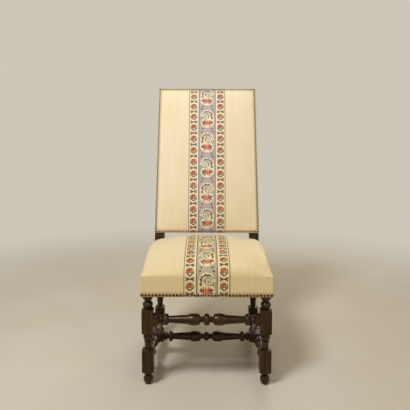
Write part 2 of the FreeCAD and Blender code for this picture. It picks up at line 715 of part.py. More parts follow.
def seat_half_width(y):
    """Half the width over the seat's cover: it follows the legs and the side rails."""
    share = (y - HALF_LEG) / (POST_FRONT_Y - HALF_LEG)
    share = min(max(share, 0), 1)
    return FRONT_X + (REAR_X - FRONT_X) * share + HALF_LEG + COVER_OUT


def seat_section(y, base, inset, shares):
    crown, shoulder, side = [RAIL_TOP + SEAT_CROWN * share - inset for share in shares]
    half = seat_half_width(y) - inset
    right_side = ((half, y, base), (half, y, side), (half - SEAT_ROLL, y, shoulder))
    roll_x = half - SEAT_ROLL * ROLL_MID_SHARE
    roll_z = side + (shoulder - side) * ROLL_RISE_SHARE
    return section_wire(right_side, (0, y, crown), (roll_x, y, roll_z))


def seat_form(base, inset):
    """The domed seat as a solid, drawn in from the cover's outer face by an inset."""
    front = SEAT_FRONT_Y + inset
    length = SEAT_REAR_Y - inset - front
    wires = []
    for row in SEAT_SECTION_SHARES:
        wires.append(seat_section(front + length * row[0], base, inset, row[1:]))
    return Part.makeLoft(wires, True, True)


def back_section(y, rear, inset, share):
    half = post_outer(y) + COVER_OUT - inset
    margin = COVER_OUT - inset
    edge = half - BACK_MARGIN
    shoulder = margin + BACK_SHOULDER * share
    right_side = ((half, y, -rear), (half, y, margin), (edge, y, margin), (edge - BACK_ROLL, y, shoulder))
    roll_x = edge - BACK_ROLL * BACK_ROLL_MID_SHARE
    roll_z = margin + (shoulder - margin) * BACK_ROLL_RISE_SHARE
    return section_wire(right_side, (0, y, margin + BACK_CROWN * share), (roll_x, y, roll_z))


def back_form(rear, inset):
    """The padded back panel as a solid in the back's frame, drawn in by an inset."""
    low = BACK_GAP - COVER_OUT + inset
    high = BACK_TOP + COVER_OUT - inset
    inner_low = low + BACK_MARGIN
    length = high - low - 2 * BACK_MARGIN
    wires = [back_section(y, rear, inset, BACK_FLAT_SHARE) for y in (low, inner_low)]
    for along, share in BACK_SECTION_SHARES:
        wires.append(back_section(inner_low + length * along, rear, inset, share))
    wires += [back_section(y, rear, inset, BACK_FLAT_SHARE) for y in (high - BACK_MARGIN, high)]
    return Part.makeLoft(wires, True, True)


def three_panels(shape, name):
    """Cuts a cover along the two seams of its needlework band."""
    bounds = shape.BoundBox
    seam = BAND_WIDTH / 2
    spans = {
        "left": (bounds.XMin - OVERRUN, -seam),
        "band": (-seam, seam),
        "right": (seam, bounds.XMax + OVERRUN),
    }
    low = (bounds.YMin - OVERRUN, bounds.ZMin - OVERRUN)
    high = (bounds.YMax + OVERRUN, bounds.ZMax + OVERRUN)
    panels = {}
    for side, (start, end) in spans.items():
        panels[name + "_" + side] = shape.common(box((start,) + low, (end,) + high))
    return panels


def seat_layers():
    lengthwise, crosswise = seat_webbing()
    inner = seat_form(RAIL_BASE - OVERRUN, CLOTH)
    cover = seat_form(RAIL_BASE, 0).cut(inner).cut(post_notches())
    stuffing = seat_form(RAIL_TOP + HESSIAN_TOP, STUFFING_INSET)
    nodes = {
        "seat_webbing_lengthwise": lengthwise,
        "seat_webbing_crosswise": crosswise,
        "seat_hessian": seat_hessian(),
        "seat_stuffing": stuffing.cut(post_notches()),
    }
    nodes.update(three_panels(cover, "seat_cover"))
    return nodes


def post_clearance():
    """The right post with the cloth's gap round it, through the bottom of the back's cover."""
    half = HALF_LEG + CLOTH_GAP
    rings = []
    for height in (0, BACK_GAP + OVERRUN):
        centre = post_outer(height) - HALF_LEG
        sides = (centre - half, centre + half)
        faces = (-POST_DEPTH - CLOTH_GAP, CLOTH_GAP)
        low = [(x, height, faces[0]) for x in sides]
        rings.append(low + [(x, height, faces[1]) for x in reversed(sides)])
    return lofted(rings)


def outside_back_cover():
    """The flat cloth over the rear of the back frame."""
    rings = []
    for depth in (POST_DEPTH + CLOTH_GAP, POST_DEPTH + COVER_OUT):
        ring = []
        for height in (BACK_GAP - COVER_OUT, BACK_TOP + COVER_OUT):
            half = post_outer(height) + COVER_OUT
            ring.append((-half, height, -depth))
            ring.append((half, height, -depth))
        rings.append([ring[0], ring[1], ring[3], ring[2]])
    return in_back_frame(lofted(rings))


def back_layers():
    upright, crosswise = back_webbing()
    inner = back_form(POST_DEPTH + OVERRUN, CLOTH)
    cover = back_form(POST_DEPTH, 0).cut(inner).cut(both_sides([post_clearance()]))
    reach = REAR_LEG_SPACING
    above_hessian = box((-reach, 0, HESSIAN_TOP), (reach, 2 * reach, reach))
    stuffing = back_form(POST_DEPTH, STUFFING_INSET).common(above_hessian)
    nodes = {
        "back_webbing_upright": upright,
        "back_webbing_crosswise": crosswise,
        "back_hessian": back_hessian(),
        "back_stuffing": in_back_frame(stuffing),
        "outside_back_cover": outside_back_cover(),
    }
    for name, panel in three_panels(cover, "back_cover").items():
        nodes[name] = in_back_frame(panel)
    return nodes


def nail():
    """A domed nail, its head's base at z = 0 and its shank below."""
    sphere = (NAIL_HEAD_RADIUS ** 2 + NAIL_HEAD_HEIGHT ** 2) / (2 * NAIL_HEAD_HEIGHT)
    half_angle = math.asin(NAIL_HEAD_RADIUS / sphere) / 2
    centre = NAIL_HEAD_HEIGHT - sphere
    middle = FreeCAD.Vector(sphere * math.sin(half_angle), 0, centre + sphere * math.cos(half_angle))
    corners = [
        (0, 0, NAIL_HEAD_HEIGHT),
        (0, 0, -NAIL_SHANK_LENGTH),
        (NAIL_SHANK_RADIUS, 0, -NAIL_SHANK_LENGTH),
        (NAIL_SHANK_RADIUS, 0, 0),
        (NAIL_HEAD_RADIUS, 0, 0),
    ]
    points = [FreeCAD.Vector(*corner) for corner in corners]
    edges = [Part.makeLine(a, b) for a, b in zip(points[:-1], points[1:])]
    edges.append(Part.Arc(points[-1], middle, points[0]).toShape())
    face = Part.Face(Part.Wire(edges))
    return face.revolve(FreeCAD.Vector(0, 0, 0), UP, 360)


def nail_row(start, end, normal, first=0):
    """Nails at an even pitch from one point to another, leaving out the first few if asked."""
    start = FreeCAD.Vector(*start)
    end = FreeCAD.Vector(*end)
    count = max(1, round(start.distanceToPoint(end) / NAIL_PITCH))
    one = nail()
    return [placed(one, start + (end - start) * (i / count), normal) for i in range(first, count + 1)]


def seat_nails():
    z = RAIL_BASE + NAIL_EDGE
    corner_x = seat_half_width(0) - NAIL_EDGE
    front_row = nail_row((-corner_x, SEAT_FRONT_Y, z), (corner_x, SEAT_FRONT_Y, z), (0, -1, 0))
    rear_x = REAR_X - HALF_LEG - POST_NOTCH_GAP - NAIL_EDGE
    rear_row = nail_row((-rear_x, SEAT_REAR_Y, z), (rear_x, SEAT_REAR_Y, z), (0, 1, 0))
    front_y = SEAT_FRONT_Y + NAIL_EDGE
    rear_y = POST_FRONT_Y - POST_NOTCH_GAP - NAIL_EDGE
    ends = [(seat_half_width(y), y, z) for y in (front_y, HALF_LEG, rear_y)]
    side_row = nail_row(ends[0], ends[1], (1, 0, 0)) + nail_row(ends[1], ends[2], (1, 0, 0), 1)
    return {
        "seat_nails_front": Part.makeCompound(front_row),
        "seat_nails_rear": Part.makeCompound(rear_row),
        "seat_nails_right": Part.makeCompound(side_row),
        "seat_nails_left": Part.makeCompound([mirrored(one) for one in side_row]),
    }


def back_nails(face, normal):
    """Four rows round a face of the back, in the back's frame."""
    low = BACK_GAP - COVER_OUT + NAIL_EDGE
    high = BACK_TOP + COVER_OUT - NAIL_EDGE
    low_x = post_outer(low) + COVER_OUT - NAIL_EDGE
    high_x = post_outer(high) + COVER_OUT - NAIL_EDGE
    right = nail_row((low_x, low, face), (high_x, high, face), normal)
    return {
        "bottom": nail_row((-low_x, low, face), (low_x, low, face), normal, 1)[:-1],
        "top": nail_row((-high_x, high, face), (high_x, high, face), normal, 1)[:-1],
        "right": right,
        "left": [mirrored(one) for one in right],
    }


def all_nails():
    nodes = seat_nails()
    for side, row in back_nails(COVER_OUT, (0, 0, 1)).items():
        nodes["back_nails_" + side] = in_back_frame(Part.makeCompound(row))
    for side, row in back_nails(-POST_DEPTH - COVER_OUT, (0, 0, -1)).items():
        nodes["outside_back_nails_" + side] = in_back_frame(Part.makeCompound(row))
    return nodes


def main():
    nodes = wooden_frame()
    nodes.update(seat_layers())
    nodes.update(back_layers())
    nodes.update(all_nails())
    bounds = Part.makeCompound(list(nodes.values())).optimalBoundingBox(False, False)
    to_origin = FreeCAD.Vector(0, -(bounds.YMin + bounds.YMax) / 2, 0)
    os.makedirs("parts", exist_ok=True)
    for name, shape in nodes.items():
        shape.translate(to_origin)
        shape.exportStep(os.path.join("parts", name + ".step"))
    print("nodes", len(nodes), "moved", round(to_origin.y, 3), "size", bounds)


main()
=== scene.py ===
import math

import bmesh
import bpy
import numpy as np
from mathutils import Euler, Matrix, Vector, noise
from mathutils.bvhtree import BVHTree
from mathutils.kdtree import KDTree


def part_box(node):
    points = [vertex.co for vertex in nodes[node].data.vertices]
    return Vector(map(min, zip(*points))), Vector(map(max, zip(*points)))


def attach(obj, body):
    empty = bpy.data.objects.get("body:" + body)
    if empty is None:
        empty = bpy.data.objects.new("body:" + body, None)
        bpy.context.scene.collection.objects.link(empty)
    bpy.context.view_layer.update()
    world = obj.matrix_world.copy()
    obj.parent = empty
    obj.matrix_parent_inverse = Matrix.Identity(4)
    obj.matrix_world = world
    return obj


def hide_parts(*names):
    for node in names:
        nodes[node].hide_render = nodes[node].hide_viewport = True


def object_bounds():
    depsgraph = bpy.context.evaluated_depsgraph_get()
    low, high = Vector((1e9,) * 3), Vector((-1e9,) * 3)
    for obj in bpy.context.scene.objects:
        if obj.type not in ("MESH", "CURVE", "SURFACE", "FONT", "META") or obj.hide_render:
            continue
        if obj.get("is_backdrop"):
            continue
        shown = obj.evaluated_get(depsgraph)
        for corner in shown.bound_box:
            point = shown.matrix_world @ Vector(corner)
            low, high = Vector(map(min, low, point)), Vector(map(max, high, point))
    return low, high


# A high-back chair in turned dark wood, in metres, +Z up, with its front facing -Y. The timbers and
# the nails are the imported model's own. The cloth, stuffing, webbing and needlework are made here.

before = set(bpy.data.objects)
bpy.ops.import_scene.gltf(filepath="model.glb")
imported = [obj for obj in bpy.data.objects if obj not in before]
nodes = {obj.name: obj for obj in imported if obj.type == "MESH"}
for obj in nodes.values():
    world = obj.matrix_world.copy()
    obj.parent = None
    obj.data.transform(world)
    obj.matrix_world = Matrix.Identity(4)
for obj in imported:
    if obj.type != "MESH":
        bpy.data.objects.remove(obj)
cad_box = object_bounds()

# Sizes that the cloth shares with the frame
LEG_SQUARE = 0.044
CLOTH = 0.0016
CLOTH_GAP = 0.0005
COVER_OUT = CLOTH + CLOTH_GAP
POST_GAP = 0.0006
BEND_ABOVE_RAIL = 0.014
RAKE = math.radians(12.8)
POST_DEPTH = 0.036
POST_DRAW_IN = 0.01  # from the bend to the top, at each side
BACK_GAP = 0.0635
BACK_HEIGHT = 0.7045
NAIL_EDGE = 0.0064
WEB_WIDTH = 0.052
WEB_THICKNESS = 0.0016
WEB_MADE = 0.0015  # a little thinner than its room, so that crossing webs stay apart
WEB_ON_WOOD = 0.016  # length of each end that lies flat on the wood
WEB_EASE = 0.02
WEB_STEP = 0.006
WEB_COLUMNS = 6
SACKING_THICKNESS = 0.001
SACKING_MADE = 0.0007  # a little thinner than its room, so that it clears the pad
SACKING_ROOM = 0.00025
SACKING_SLACK = 0.0002
PAD_LEVEL = 2 * WEB_THICKNESS + SACKING_THICKNESS  # underside of the stuffing, above the wood

# The stuffing's swell under its cloth
SWELL_CAP = 0.008
SWELL_ROOM = 0.003
SWELL_STEPS = 20
SWELL_PASSES = 16
EVENING = 0.6  # share of the way to its neighbours' mean that a point moves in one pass
ROLL_PASSES = 18
ROLL_EASE = 0.006
CLOTH_SETTINGS = {
    "quality": 6,
    "mass": 0.3,
    "tension_stiffness": 25,
    "compression_stiffness": 25,
    "shear_stiffness": 12,
    "bending_stiffness": 1.2,
    "vertex_group_mass": "held",
    "use_pressure": True,
    "uniform_pressure_force": 3.0,
}

# How the pads' forms are evened: passes, and distances counted in cells
CREASE_PASSES = 6
FORM_PASSES = 100
CORNER_CELLS = 8
CORNER_FADE = 6
EDGE_CELLS = 3
EDGE_FADE = 7

# How the seat's stuffing departs from an even pad
SIDE_LIFT_LEFT = 0.012
SIDE_LIFT_RIGHT = 0.015
FRONT_LIFT = 0.013
CORNER_DROP = 0.008
SIDE_FULLNESS = 0.022
SIDE_REACH = 0.06  # from the side or the front inwards
CORNER_REACH = 0.04
FRONT_PLACE = 0.14  # to the right of the middle
FRONT_SPREAD = 0.075
SEAT_EASE = 0.02  # height over which the cloth comes free of the frame
BACK_EASE = 0.01
UNEVEN = ((0.0016, 14.0, 3.0), (0.0005, 60.0, 9.0))  # the amount, scale and seed of each layer
OUTSIDE_UNEVEN = (0.0007, 9.0, 21.0)
OUTSIDE_EASE = 0.06

rail_low, rail_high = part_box("seat_rail_front")
post_low, post_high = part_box("rear_post_right")
band_low, band_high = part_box("seat_cover_band")
RAIL_BASE = rail_low.z
RAIL_TOP = rail_high.z
SEAT_LEVEL = RAIL_TOP + PAD_LEVEL
SEAT_FRONT = band_low.y
SEAT_REAR = band_high.y
LEGS_REAR = SEAT_FRONT + COVER_OUT + LEG_SQUARE  # the rear faces of the front legs
BAND_HALF = band_high.x
POST_FRONT = post_low.y
POST_OUTER = post_high.x
POST_INNER = POST_OUTER - LEG_SQUARE
NOTCH_X = POST_INNER - POST_GAP
NOTCH_Y = POST_FRONT - POST_GAP
HALF_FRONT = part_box("seat_cover_right")[1].x
HALF_REAR = POST_OUTER + COVER_OUT
JUST_INSIDE = 0.0004

# The back's own frame: X across, Y up the rake, Z out of its front
BACK = Matrix.Translation((0, POST_FRONT, RAIL_TOP + BEND_ABOVE_RAIL))
BACK = BACK @ Euler((math.pi / 2 - RAKE, 0, 0)).to_matrix().to_4x4()
TO_BACK = BACK.inverted()
WORLD = Matrix.Identity(4)
BACK_TOP = BACK_GAP + BACK_HEIGHT
BACK_LOW = BACK_GAP - COVER_OUT
BACK_HIGH = BACK_TOP + COVER_OUT

BACKDROP = (0.61, 0.57, 0.49)
FULL_TURN = 2 * math.pi
MM = 1000.0


def linear(red, green, blue):
    """A colour of 0 to 255 as the screen shows it, as linear light."""
    shares = np.array((red, green, blue)) / 255
    return tuple(np.where(shares < 0.04045, shares / 12.92, ((shares + 0.055) / 1.055) ** 2.4))


def smooth_step(share):
    share = np.clip(share, 0, 1)
    return share * share * (3 - 2 * share)


def graded(low, high, edge, fine, coarse):
    """Places from low to high, close together within an edge's width of both ends."""
    start = np.linspace(0, edge, round(edge / fine) + 1)
    length = high - low
    middle = np.linspace(edge, length - edge, max(1, round((length - 2 * edge) / coarse)) + 1)
    return low + np.concatenate([start, middle[1:-1], length - start[::-1]])


class Field:
    """What a node gives over a surface. It goes into sums as a number does."""

    def __init__(self, look, socket):
        self.look = look
        self.socket = socket

    def __add__(self, other):
        return self.look.math("ADD", self, other)

    def __sub__(self, other):
        return self.look.math("SUBTRACT", self, other)

    def __rsub__(self, other):
        return self.look.math("SUBTRACT", other, self)

    def __mul__(self, other):
        return self.look.math("MULTIPLY", self, other)

    def __abs__(self):
        return self.look.math("ABSOLUTE", self)


class Look:
    """A material and its nodes."""

    def __init__(self, name, **sockets):
        self.material = bpy.data.materials.new(name)
        self.material.use_nodes = True
        self.tree = self.material.node_tree
        self.shader = self.tree.nodes["Principled BSDF"]
        self.feed_all(self.shader, sockets)

    def feed(self, socket, value):
        if isinstance(value, Field):
            self.tree.links.new(value.socket, socket)
        else:
            socket.default_value = value

    def feed_all(self, node, inputs):
        for name, value in inputs.items():
            self.feed(node.inputs[name.replace("_", " ")], value)

    def field(self, kind, output, settings=None, **inputs):
        """An output of a new node."""
        node = self.tree.nodes.new("ShaderNode" + kind)
        for name, value in (settings or {}).items():
            setattr(node, name, value)
        self.feed_all(node, inputs)
        return Field(self, node.outputs[output])

    def operation(self, kind, name, values, output=0):
        node = self.tree.nodes.new("ShaderNode" + kind)
        node.operation = name
        for socket, value in zip(node.inputs, values):
            self.feed(socket, value)
        return Field(self, node.outputs[output])

    def math(self, name, *values):
        return self.operation("Math", name, values)

    def place(self):
        return self.field("TexCoord", "Object")

    def on_cloth(self):
        """The place on the flat cloth, and its parts across and along."""
        cloth = self.field("UVMap", "UV", {"uv_map": "cloth"})
        return cloth, self.part(cloth, "X"), self.part(cloth, "Y")

    def part(self, vector, axis):
        return self.field("SeparateXYZ", axis, Vector=vector)

    def noise(self, vector, scale, detail=2.0, roughness=0.5):
        return self.field("TexNoise", "Fac", Vector=vector, Scale=scale, Detail=detail, Roughness=roughness)

    def stretched(self, vector, scale):
        return self.field("Mapping", "Vector", Vector=vector, Scale=scale)

    def threads(self, cloth, across, along, detail, roughness=0.5):
        """Noise drawn out along one way of the cloth."""
        return self.noise(self.stretched(cloth, (across, along, 1.0)), 1.0, detail, roughness)

    def mask(self, factor, low, high):
        """0 up to low, 1 from high."""
        settings = {"interpolation_type": "SMOOTHSTEP"}
        return self.field("MapRange", "Result", settings, Value=factor, From_Min=low, From_Max=high)

    def ramp(self, factor, *stops):
        """Colours of 0 to 255 along a factor, each as (place, red, green, blue)."""
        node = self.tree.nodes.new("ShaderNodeValToRGB")
        self.feed(node.inputs["Fac"], factor)
        elements = node.color_ramp.elements
        while len(elements) < len(stops):
            elements.new(0.5)
        for element, (place, *colour) in zip(elements, stops):
            element.position = place
            element.color = (*linear(*colour), 1)
        return Field(self, node.outputs["Color"])

    def mixed(self, factor, base, colour, blend="MIX"):
        """A colour of 0 to 255 laid over another by a factor."""
        node = self.tree.nodes.new("ShaderNodeMix")
        node.data_type = "RGBA"
        node.blend_type = blend
        self.feed(node.inputs[0], factor)
        self.feed(node.inputs[6], base)
        self.feed(node.inputs[7], (*linear(*colour), 1))
        return Field(self, node.outputs[2])

    def layered(self, base, *layers):
        for factor, colour in layers:
            base = self.mixed(factor, base, colour)
        return base

    def finished(self, colour, roughness, relief, depth, strength):
        bump = self.field("Bump", "Normal", Height=relief, Strength=strength, Distance=depth)
        self.feed_all(self.shader, {"Base Color": colour, "Roughness": roughness, "Normal": bump})
        return self.material


def wood(name, along):
    """Old polished walnut with its grain along one axis, worn on the edges, and darkened in the hollows by
    grime and painted shade.
    """
    look = Look(name, Specular_IOR_Level=0.42, Specular_Tint=(1.0, 0.8, 0.56, 1.0))
    place = look.place()
    grain_scale = [1.0, 1.0, 1.0]
    grain_scale[along] = 0.07
    sway = look.field("TexNoise", "Color", Vector=place, Scale=7.0, Detail=1.0)
    swayed = look.operation("VectorMath", "MULTIPLY_ADD", (sway, (0.02, 0.02, 0.02), place))
    grain = look.stretched(swayed, grain_scale)
    bands = look.noise(grain, 90.0, 3.0, 0.55)
    fibres = look.noise(grain, 900.0, 3.0, 0.6)
    pores = look.mask(look.noise(grain, 1700.0, 1.0), 0.66, 0.74)
    # Grime and painted shade: the wood darkens where ambient occlusion finds hollows, where shade falls.
    open_air = look.field("AmbientOcclusion", "AO", {"samples": 8, "inside": False}, Distance=0.02)
    grime_and_shade = 1 - look.mask(open_air, 0.25, 0.85)
    rounded = look.field("Bevel", "Normal", {"samples": 6}, Radius=0.0022)
    normals = (rounded, look.field("NewGeometry", "Normal"))
    edge = 1 - look.operation("VectorMath", "DOT_PRODUCT", normals, "Value")
    scuffs = look.mask(look.noise(place, 55.0, 4.0, 0.65), 0.36, 0.62)
    rubbed = look.mask(edge, 0.004, 0.09) * scuffs * look.mask(open_air, 0.5, 0.9)
    stops = ((0.32, 22, 12, 4), (0.46, 39, 22, 7), (0.58, 56, 33, 12), (0.72, 80, 47, 19))
    colour = look.layered(
        look.ramp(bands * 0.72 + fibres * 0.28, *stops),
        (pores * 0.6, (13, 8, 4)),
        # grime and painted shade in the hollows
        (grime_and_shade * 0.7, (14, 9, 4)),
        (rubbed * 0.6, (120, 84, 46)),
    )
    roughness = look.noise(place, 24.0, 3.0, 0.6) * 0.22 + 0.16 + grime_and_shade * 0.25
    relief = fibres * 0.5 - pores + look.noise(place, 130.0, 2.0) * 1.6
    return look.finished(colour, roughness, relief, 0.00035, 0.55)


def brass():
    """Old brass nails, browned with age, brighter on some crowns."""
    look = Look("brass", Metallic=1.0)
    place = look.place()
    patina = look.mask(look.noise(place, 210.0, 3.0, 0.6), 0.4, 0.66)
    gilt = look.ramp(look.noise(place, 48.0, 1.0), (0.35, 62, 42, 8), (0.65, 124, 86, 22))
    colour = look.mixed(patina, gilt, (28, 18, 5))
    return look.finished(colour, patina * 0.3 + 0.28, look.noise(place, 700.0, 2.0), 0.0002, 0.4)


def linen():
    """Cream linen, ribbed lengthwise with uneven threads and painted shade in the furrows, a little
    yellowed in patches, darker and warmer low down as painted shade, and darkened round its nails by grime
    and painted shade.
    """
    look = Look("linen", Specular_IOR_Level=0.18, Sheen_Weight=0.12, Sheen_Roughness=0.5)
    cloth, across, along = look.on_cloth()
    place = look.place()
    rib_width = 0.0021
    thread_width = 0.0011
    wander = look.threads(cloth, 60.0, 9.0, 2.0) * 0.0012
    rib = look.math("SINE", (across + wander) * (FULL_TURN / rib_width)) * 0.5 + 0.5
    weft = look.math("SINE", along * (FULL_TURN / thread_width)) * 0.5 + 0.5
    streaks = look.threads(cloth, 260.0, 5.0, 3.0, 0.6)
    broad = look.threads(cloth, 62.0, 2.2, 2.0)
    slubs = look.mask(look.threads(cloth, 420.0, 42.0, 1.0), 0.68, 0.8)
    age = look.mask(look.noise(place, 5.0, 3.0, 0.55), 0.5, 0.75)
    # Painted shade: the cloth is darker and warmer low down, standing for the dimmer, warmer light there.
    painted_low_shade = 1 - look.mask(look.part(place, "Z"), 0.43, 0.57)
    # Grime and painted shade round the nails, marked on the points.
    nail_soil_and_shade = look.field("Attribute", "Fac", {"attribute_name": "nail_soil_and_shade"})
    stops = ((0.3, 237, 219, 177), (0.5, 242, 225, 186), (0.7, 246, 231, 194))
    colour = look.layered(
        look.ramp(streaks * 0.75 + broad * 0.25, *stops),
        (age * 0.25, (230, 205, 155)),
        # painted shade low down
        (painted_low_shade * 0.58, (226, 196, 132)),
        # painted shade in the furrows between the ribs
        ((1 - rib) * 0.13, (206, 180, 132)),
        (slubs * 0.25, (250, 240, 214)),
        # grime and painted shade round the nails
        (nail_soil_and_shade * 0.85, (104, 70, 12)),
    )
    return look.finished(colour, streaks * 0.12 + 0.82, rib + weft * 0.35 + slubs * 0.8, 0.0003, 0.6)


def wool_stitches():
    """Worked wool: the chart's colours, each thread a little different, over slanting stitches."""
    look = Look(
        "wool_stitches", Specular_IOR_Level=0.15, Sheen_Weight=0.2, Sheen_Roughness=0.55,
        Sheen_Tint=(1.0, 0.8, 0.52, 1.0),
    )
    chart = look.field("Attribute", "Color", {"attribute_name": "stitch"})
    cloth, across, along = look.on_cloth()
    column = look.math("DIVIDE", across, STITCH)
    row = look.math("DIVIDE", along, STITCH)
    thread = 1 - abs(look.math("FRACT", column) + look.math("FRACT", row) - 1.0)
    fuzz = look.noise(cloth, 1500.0, 3.0, 0.65)
    wear = look.mask(look.noise(cloth, 22.0, 3.0, 0.6), 0.45, 0.75)
    colour = look.mixed(wear * 0.22, chart, (214, 196, 160))
    # Painted shade: darker in the grooves between the stitches, where the thread relief dips.
    colour = look.mixed((1 - thread) * 0.3, colour, (62, 50, 38), "MULTIPLY")
    colour = look.mixed(fuzz * 0.12, colour, (240, 230, 205))
    return look.finished(colour, fuzz * 0.12 + 0.85, thread + fuzz * 0.6, 0.00045, 0.7)


def jute_webbing():
    """Brown jute webs with a darker stripe near each edge and a herringbone weave."""
    look = Look("jute_webbing", Specular_IOR_Level=0.15)
    cloth, across, along = look.on_cloth()
    twill_width = 0.003
    zigzag = look.math("PINGPONG", across, 1.5 * twill_width)
    weave = look.math("SINE", (along + zigzag) * (FULL_TURN / twill_width))
    fibre = look.threads(cloth, 900.0, 160.0, 3.0, 0.6)
    stripe = 1 - look.mask(abs(abs(across) - 0.018), 0.0012, 0.0022)
    colour = look.layered(
        look.ramp(fibre, (0.3, 132, 100, 60), (0.7, 176, 142, 92)),
        (stripe * 0.8, (74, 48, 30)),
        # painted shade: darker in the troughs of the weave
        (look.mask(weave, -1.0, 0.2) * -0.35 + 0.35, (96, 70, 40)),
    )
    return look.finished(colour, fibre * 0.1 + 0.85, weave + fibre, 0.0004, 0.8)


def sacking():
    """Coarse plain-woven sacking."""
    look = Look("sacking", Specular_IOR_Level=0.12)
    cloth, across, along = look.on_cloth()
    turns = FULL_TURN / 0.0032
    weave = look.math("SINE", across * turns) * look.math("SINE", along * turns)
    fibre = look.noise(cloth, 600.0, 3.0, 0.65)
    # Painted shading of the weave: lighter where its threads stand up, darker where they dip.
    colour = look.ramp(weave * 0.18 + fibre, (0.3, 98, 74, 44), (0.7, 164, 132, 88))
    return look.finished(colour, fibre * 0.1 + 0.86, weave + fibre, 0.0006, 0.8)


def seen_directly(tree):
    """1 for rays from the camera, and those that metal or glass sends on, else 0."""
    path = tree.nodes.new("ShaderNodeLightPath")
    total = path.outputs["Is Camera Ray"]
    for name in ("Is Glossy Ray", "Is Transmission Ray"):
        node = tree.nodes.new("ShaderNodeMath")
        node.operation = "MAXIMUM"
        tree.links.new(total, node.inputs[0])
        tree.links.new(path.outputs[name], node.inputs[1])
        total = node.outputs[0]
    return total


def mix_shaders(tree, factor, first, second, output):
    mix = tree.nodes.new("ShaderNodeMixShader")
    for source, socket in zip((factor, first, second), mix.inputs):
        tree.links.new(source, socket)
    tree.links.new(mix.outputs[0], tree.nodes[output].inputs["Surface"])


def studio_floor():
    """A pale floor that turns into the backdrop's colour far from the chair."""
    look = Look("studio_floor", Specular_IOR_Level=0.2)
    place = look.place()
    mottle = look.noise(place, 3.0, 3.0)
    colour = look.ramp(mottle, (0.3, 214, 202, 179), (0.7, 219, 208, 187))
    look.feed_all(look.shader, {"Base Color": colour, "Roughness": mottle * 0.1 + 0.65})
    away = look.mask(look.operation("VectorMath", "LENGTH", (place,), "Value"), 1.0, 2.9)
    backdrop = look.field("Emission", 0, Color=(*BACKDROP, 1))
    shown = away * Field(look, seen_directly(look.tree))
    mix_shaders(look.tree, shown.socket, look.shader.outputs[0], backdrop.socket, "Material Output")
    return look.material


def linked(name, data):
    """A new object in the scene."""
    made = bpy.data.objects.new(name, data)
    bpy.context.scene.collection.objects.link(made)
    return made


def as_mesh(name, points, faces, cloth):
    """A mesh object. cloth holds the place of each face's corner on the flat cloth."""
    mesh = bpy.data.meshes.new(name)
    mesh.from_pydata([tuple(point) for point in points], [], faces)
    layer = mesh.uv_layers.new(name="cloth")
    layer.data.foreach_set("uv", np.asarray(cloth, np.float32).ravel())
    return linked(name, mesh)


def new_piece(name, points, faces, cloth, to_world, material, slot, replaced):
    """A smooth-shaded piece that rides with the chair and stands for some CAD nodes."""
    turned = np.array(to_world.to_3x3())
    piece = as_mesh(name, points @ turned.T + np.array(to_world.translation), faces, cloth)
    piece.data.materials.append(material)
    piece.data.polygons.foreach_set("use_smooth", [True] * len(faces))
    piece.data.update()
    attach(piece, "root")
    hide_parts(*replaced)
    return piece


def tree_of(names, to_local):
    """The triangles of some CAD nodes, for rays cast in a frame of their own."""
    points = []
    faces = []
    for name in names:
        mesh = nodes[name].data
        faces += [[len(points) + i for i in polygon.vertices] for polygon in mesh.polygons]
        points += [to_local @ vert.co for vert in mesh.vertices]
    return BVHTree.FromPolygons(points, faces)


def near_tree(points):
    """Points to measure the distance from."""
    tree = KDTree(len(points))
    for number, point in enumerate(points):
        tree.insert(point, number)
    tree.balance()
    return tree


def distance_to(tree, points):
    return np.array([tree.find(Vector(point))[2] for point in points])


class Cover:
    """Cloth over a pad, with its outer and inner points, its faces and their places on the flat cloth.

    Its frame has the pad's top towards +Z. A key names each point once, so patches share edges.
    """

    def __init__(self, level):
        self.level = level
        self.number = {}
        self.outer = []
        self.inner = []
        self.faces = []
        self.cloth = []
        self.rolled = []

    def point(self, key, outer, inner):
        if key not in self.number:
            self.number[key] = len(self.outer)
            self.outer.append(outer)
            self.inner.append(inner)
        return self.number[key]

    def patch(self, columns, rows, place, within, turned=False):
        """Cells side by side, but for those that place leaves out. within gives the inner points."""
        for j in range(rows):
            for i in range(columns):
                corners = ((i, j), (i + 1, j), (i + 1, j + 1), (i, j + 1))
                if turned:
                    corners = corners[:1] + corners[:0:-1]
                spots = [place(*corner) for corner in corners]
                if None in spots:
                    continue
                pairs = zip(corners, spots)
                self.faces.append([self.point((*key, 0), spot, within(key, spot)) for key, spot in pairs])
                self.cloth += [spot[:2] for spot in spots]

    def top(self, columns, rows, place, inset):
        def within(corner, spot):
            shift_x, shift_y = inset.get(corner, (0, 0))
            return spot[0] - shift_x, spot[1] - shift_y, min(spot[2] - CLOTH, self.level)

        self.patch(columns, rows, place, within)

    def skirt(self, corners, outward, levels, place, inset):
        """A skirt below some points of the top patch's edge. levels(z) gives its rows downwards."""
        columns = []
        for corner in corners:
            x, y, z = place(*corner)
            shift_x, shift_y = inset[corner]
            column = []
            for k, lower in enumerate(levels(z)):
                inner = (x - shift_x, y - shift_y, min(lower, self.level))
                flat = (x + outward[0] * (z - lower), y + outward[1] * (z - lower))
                column.append((self.point((*corner, k), (x, y, lower), inner), flat))
            columns.append(column)
        for near, far in zip(columns, columns[1:]):
            for k in range(len(near) - 1):
                around = (near[k], near[k + 1], far[k + 1], far[k])
                self.faces.append([number for number, flat in around])
                self.cloth += [flat for number, flat in around]


def side(start, end):
    """The corners from one to another round a patch, anticlockwise, and the way out of it there."""
    count = abs(end[0] - start[0]) + abs(end[1] - start[1])
    step = ((end[0] - start[0]) // count, (end[1] - start[1]) // count)
    corners = [(start[0] + step[0] * k, start[1] + step[1] * k) for k in range(count + 1)]
    return corners, (step[1], -step[0])


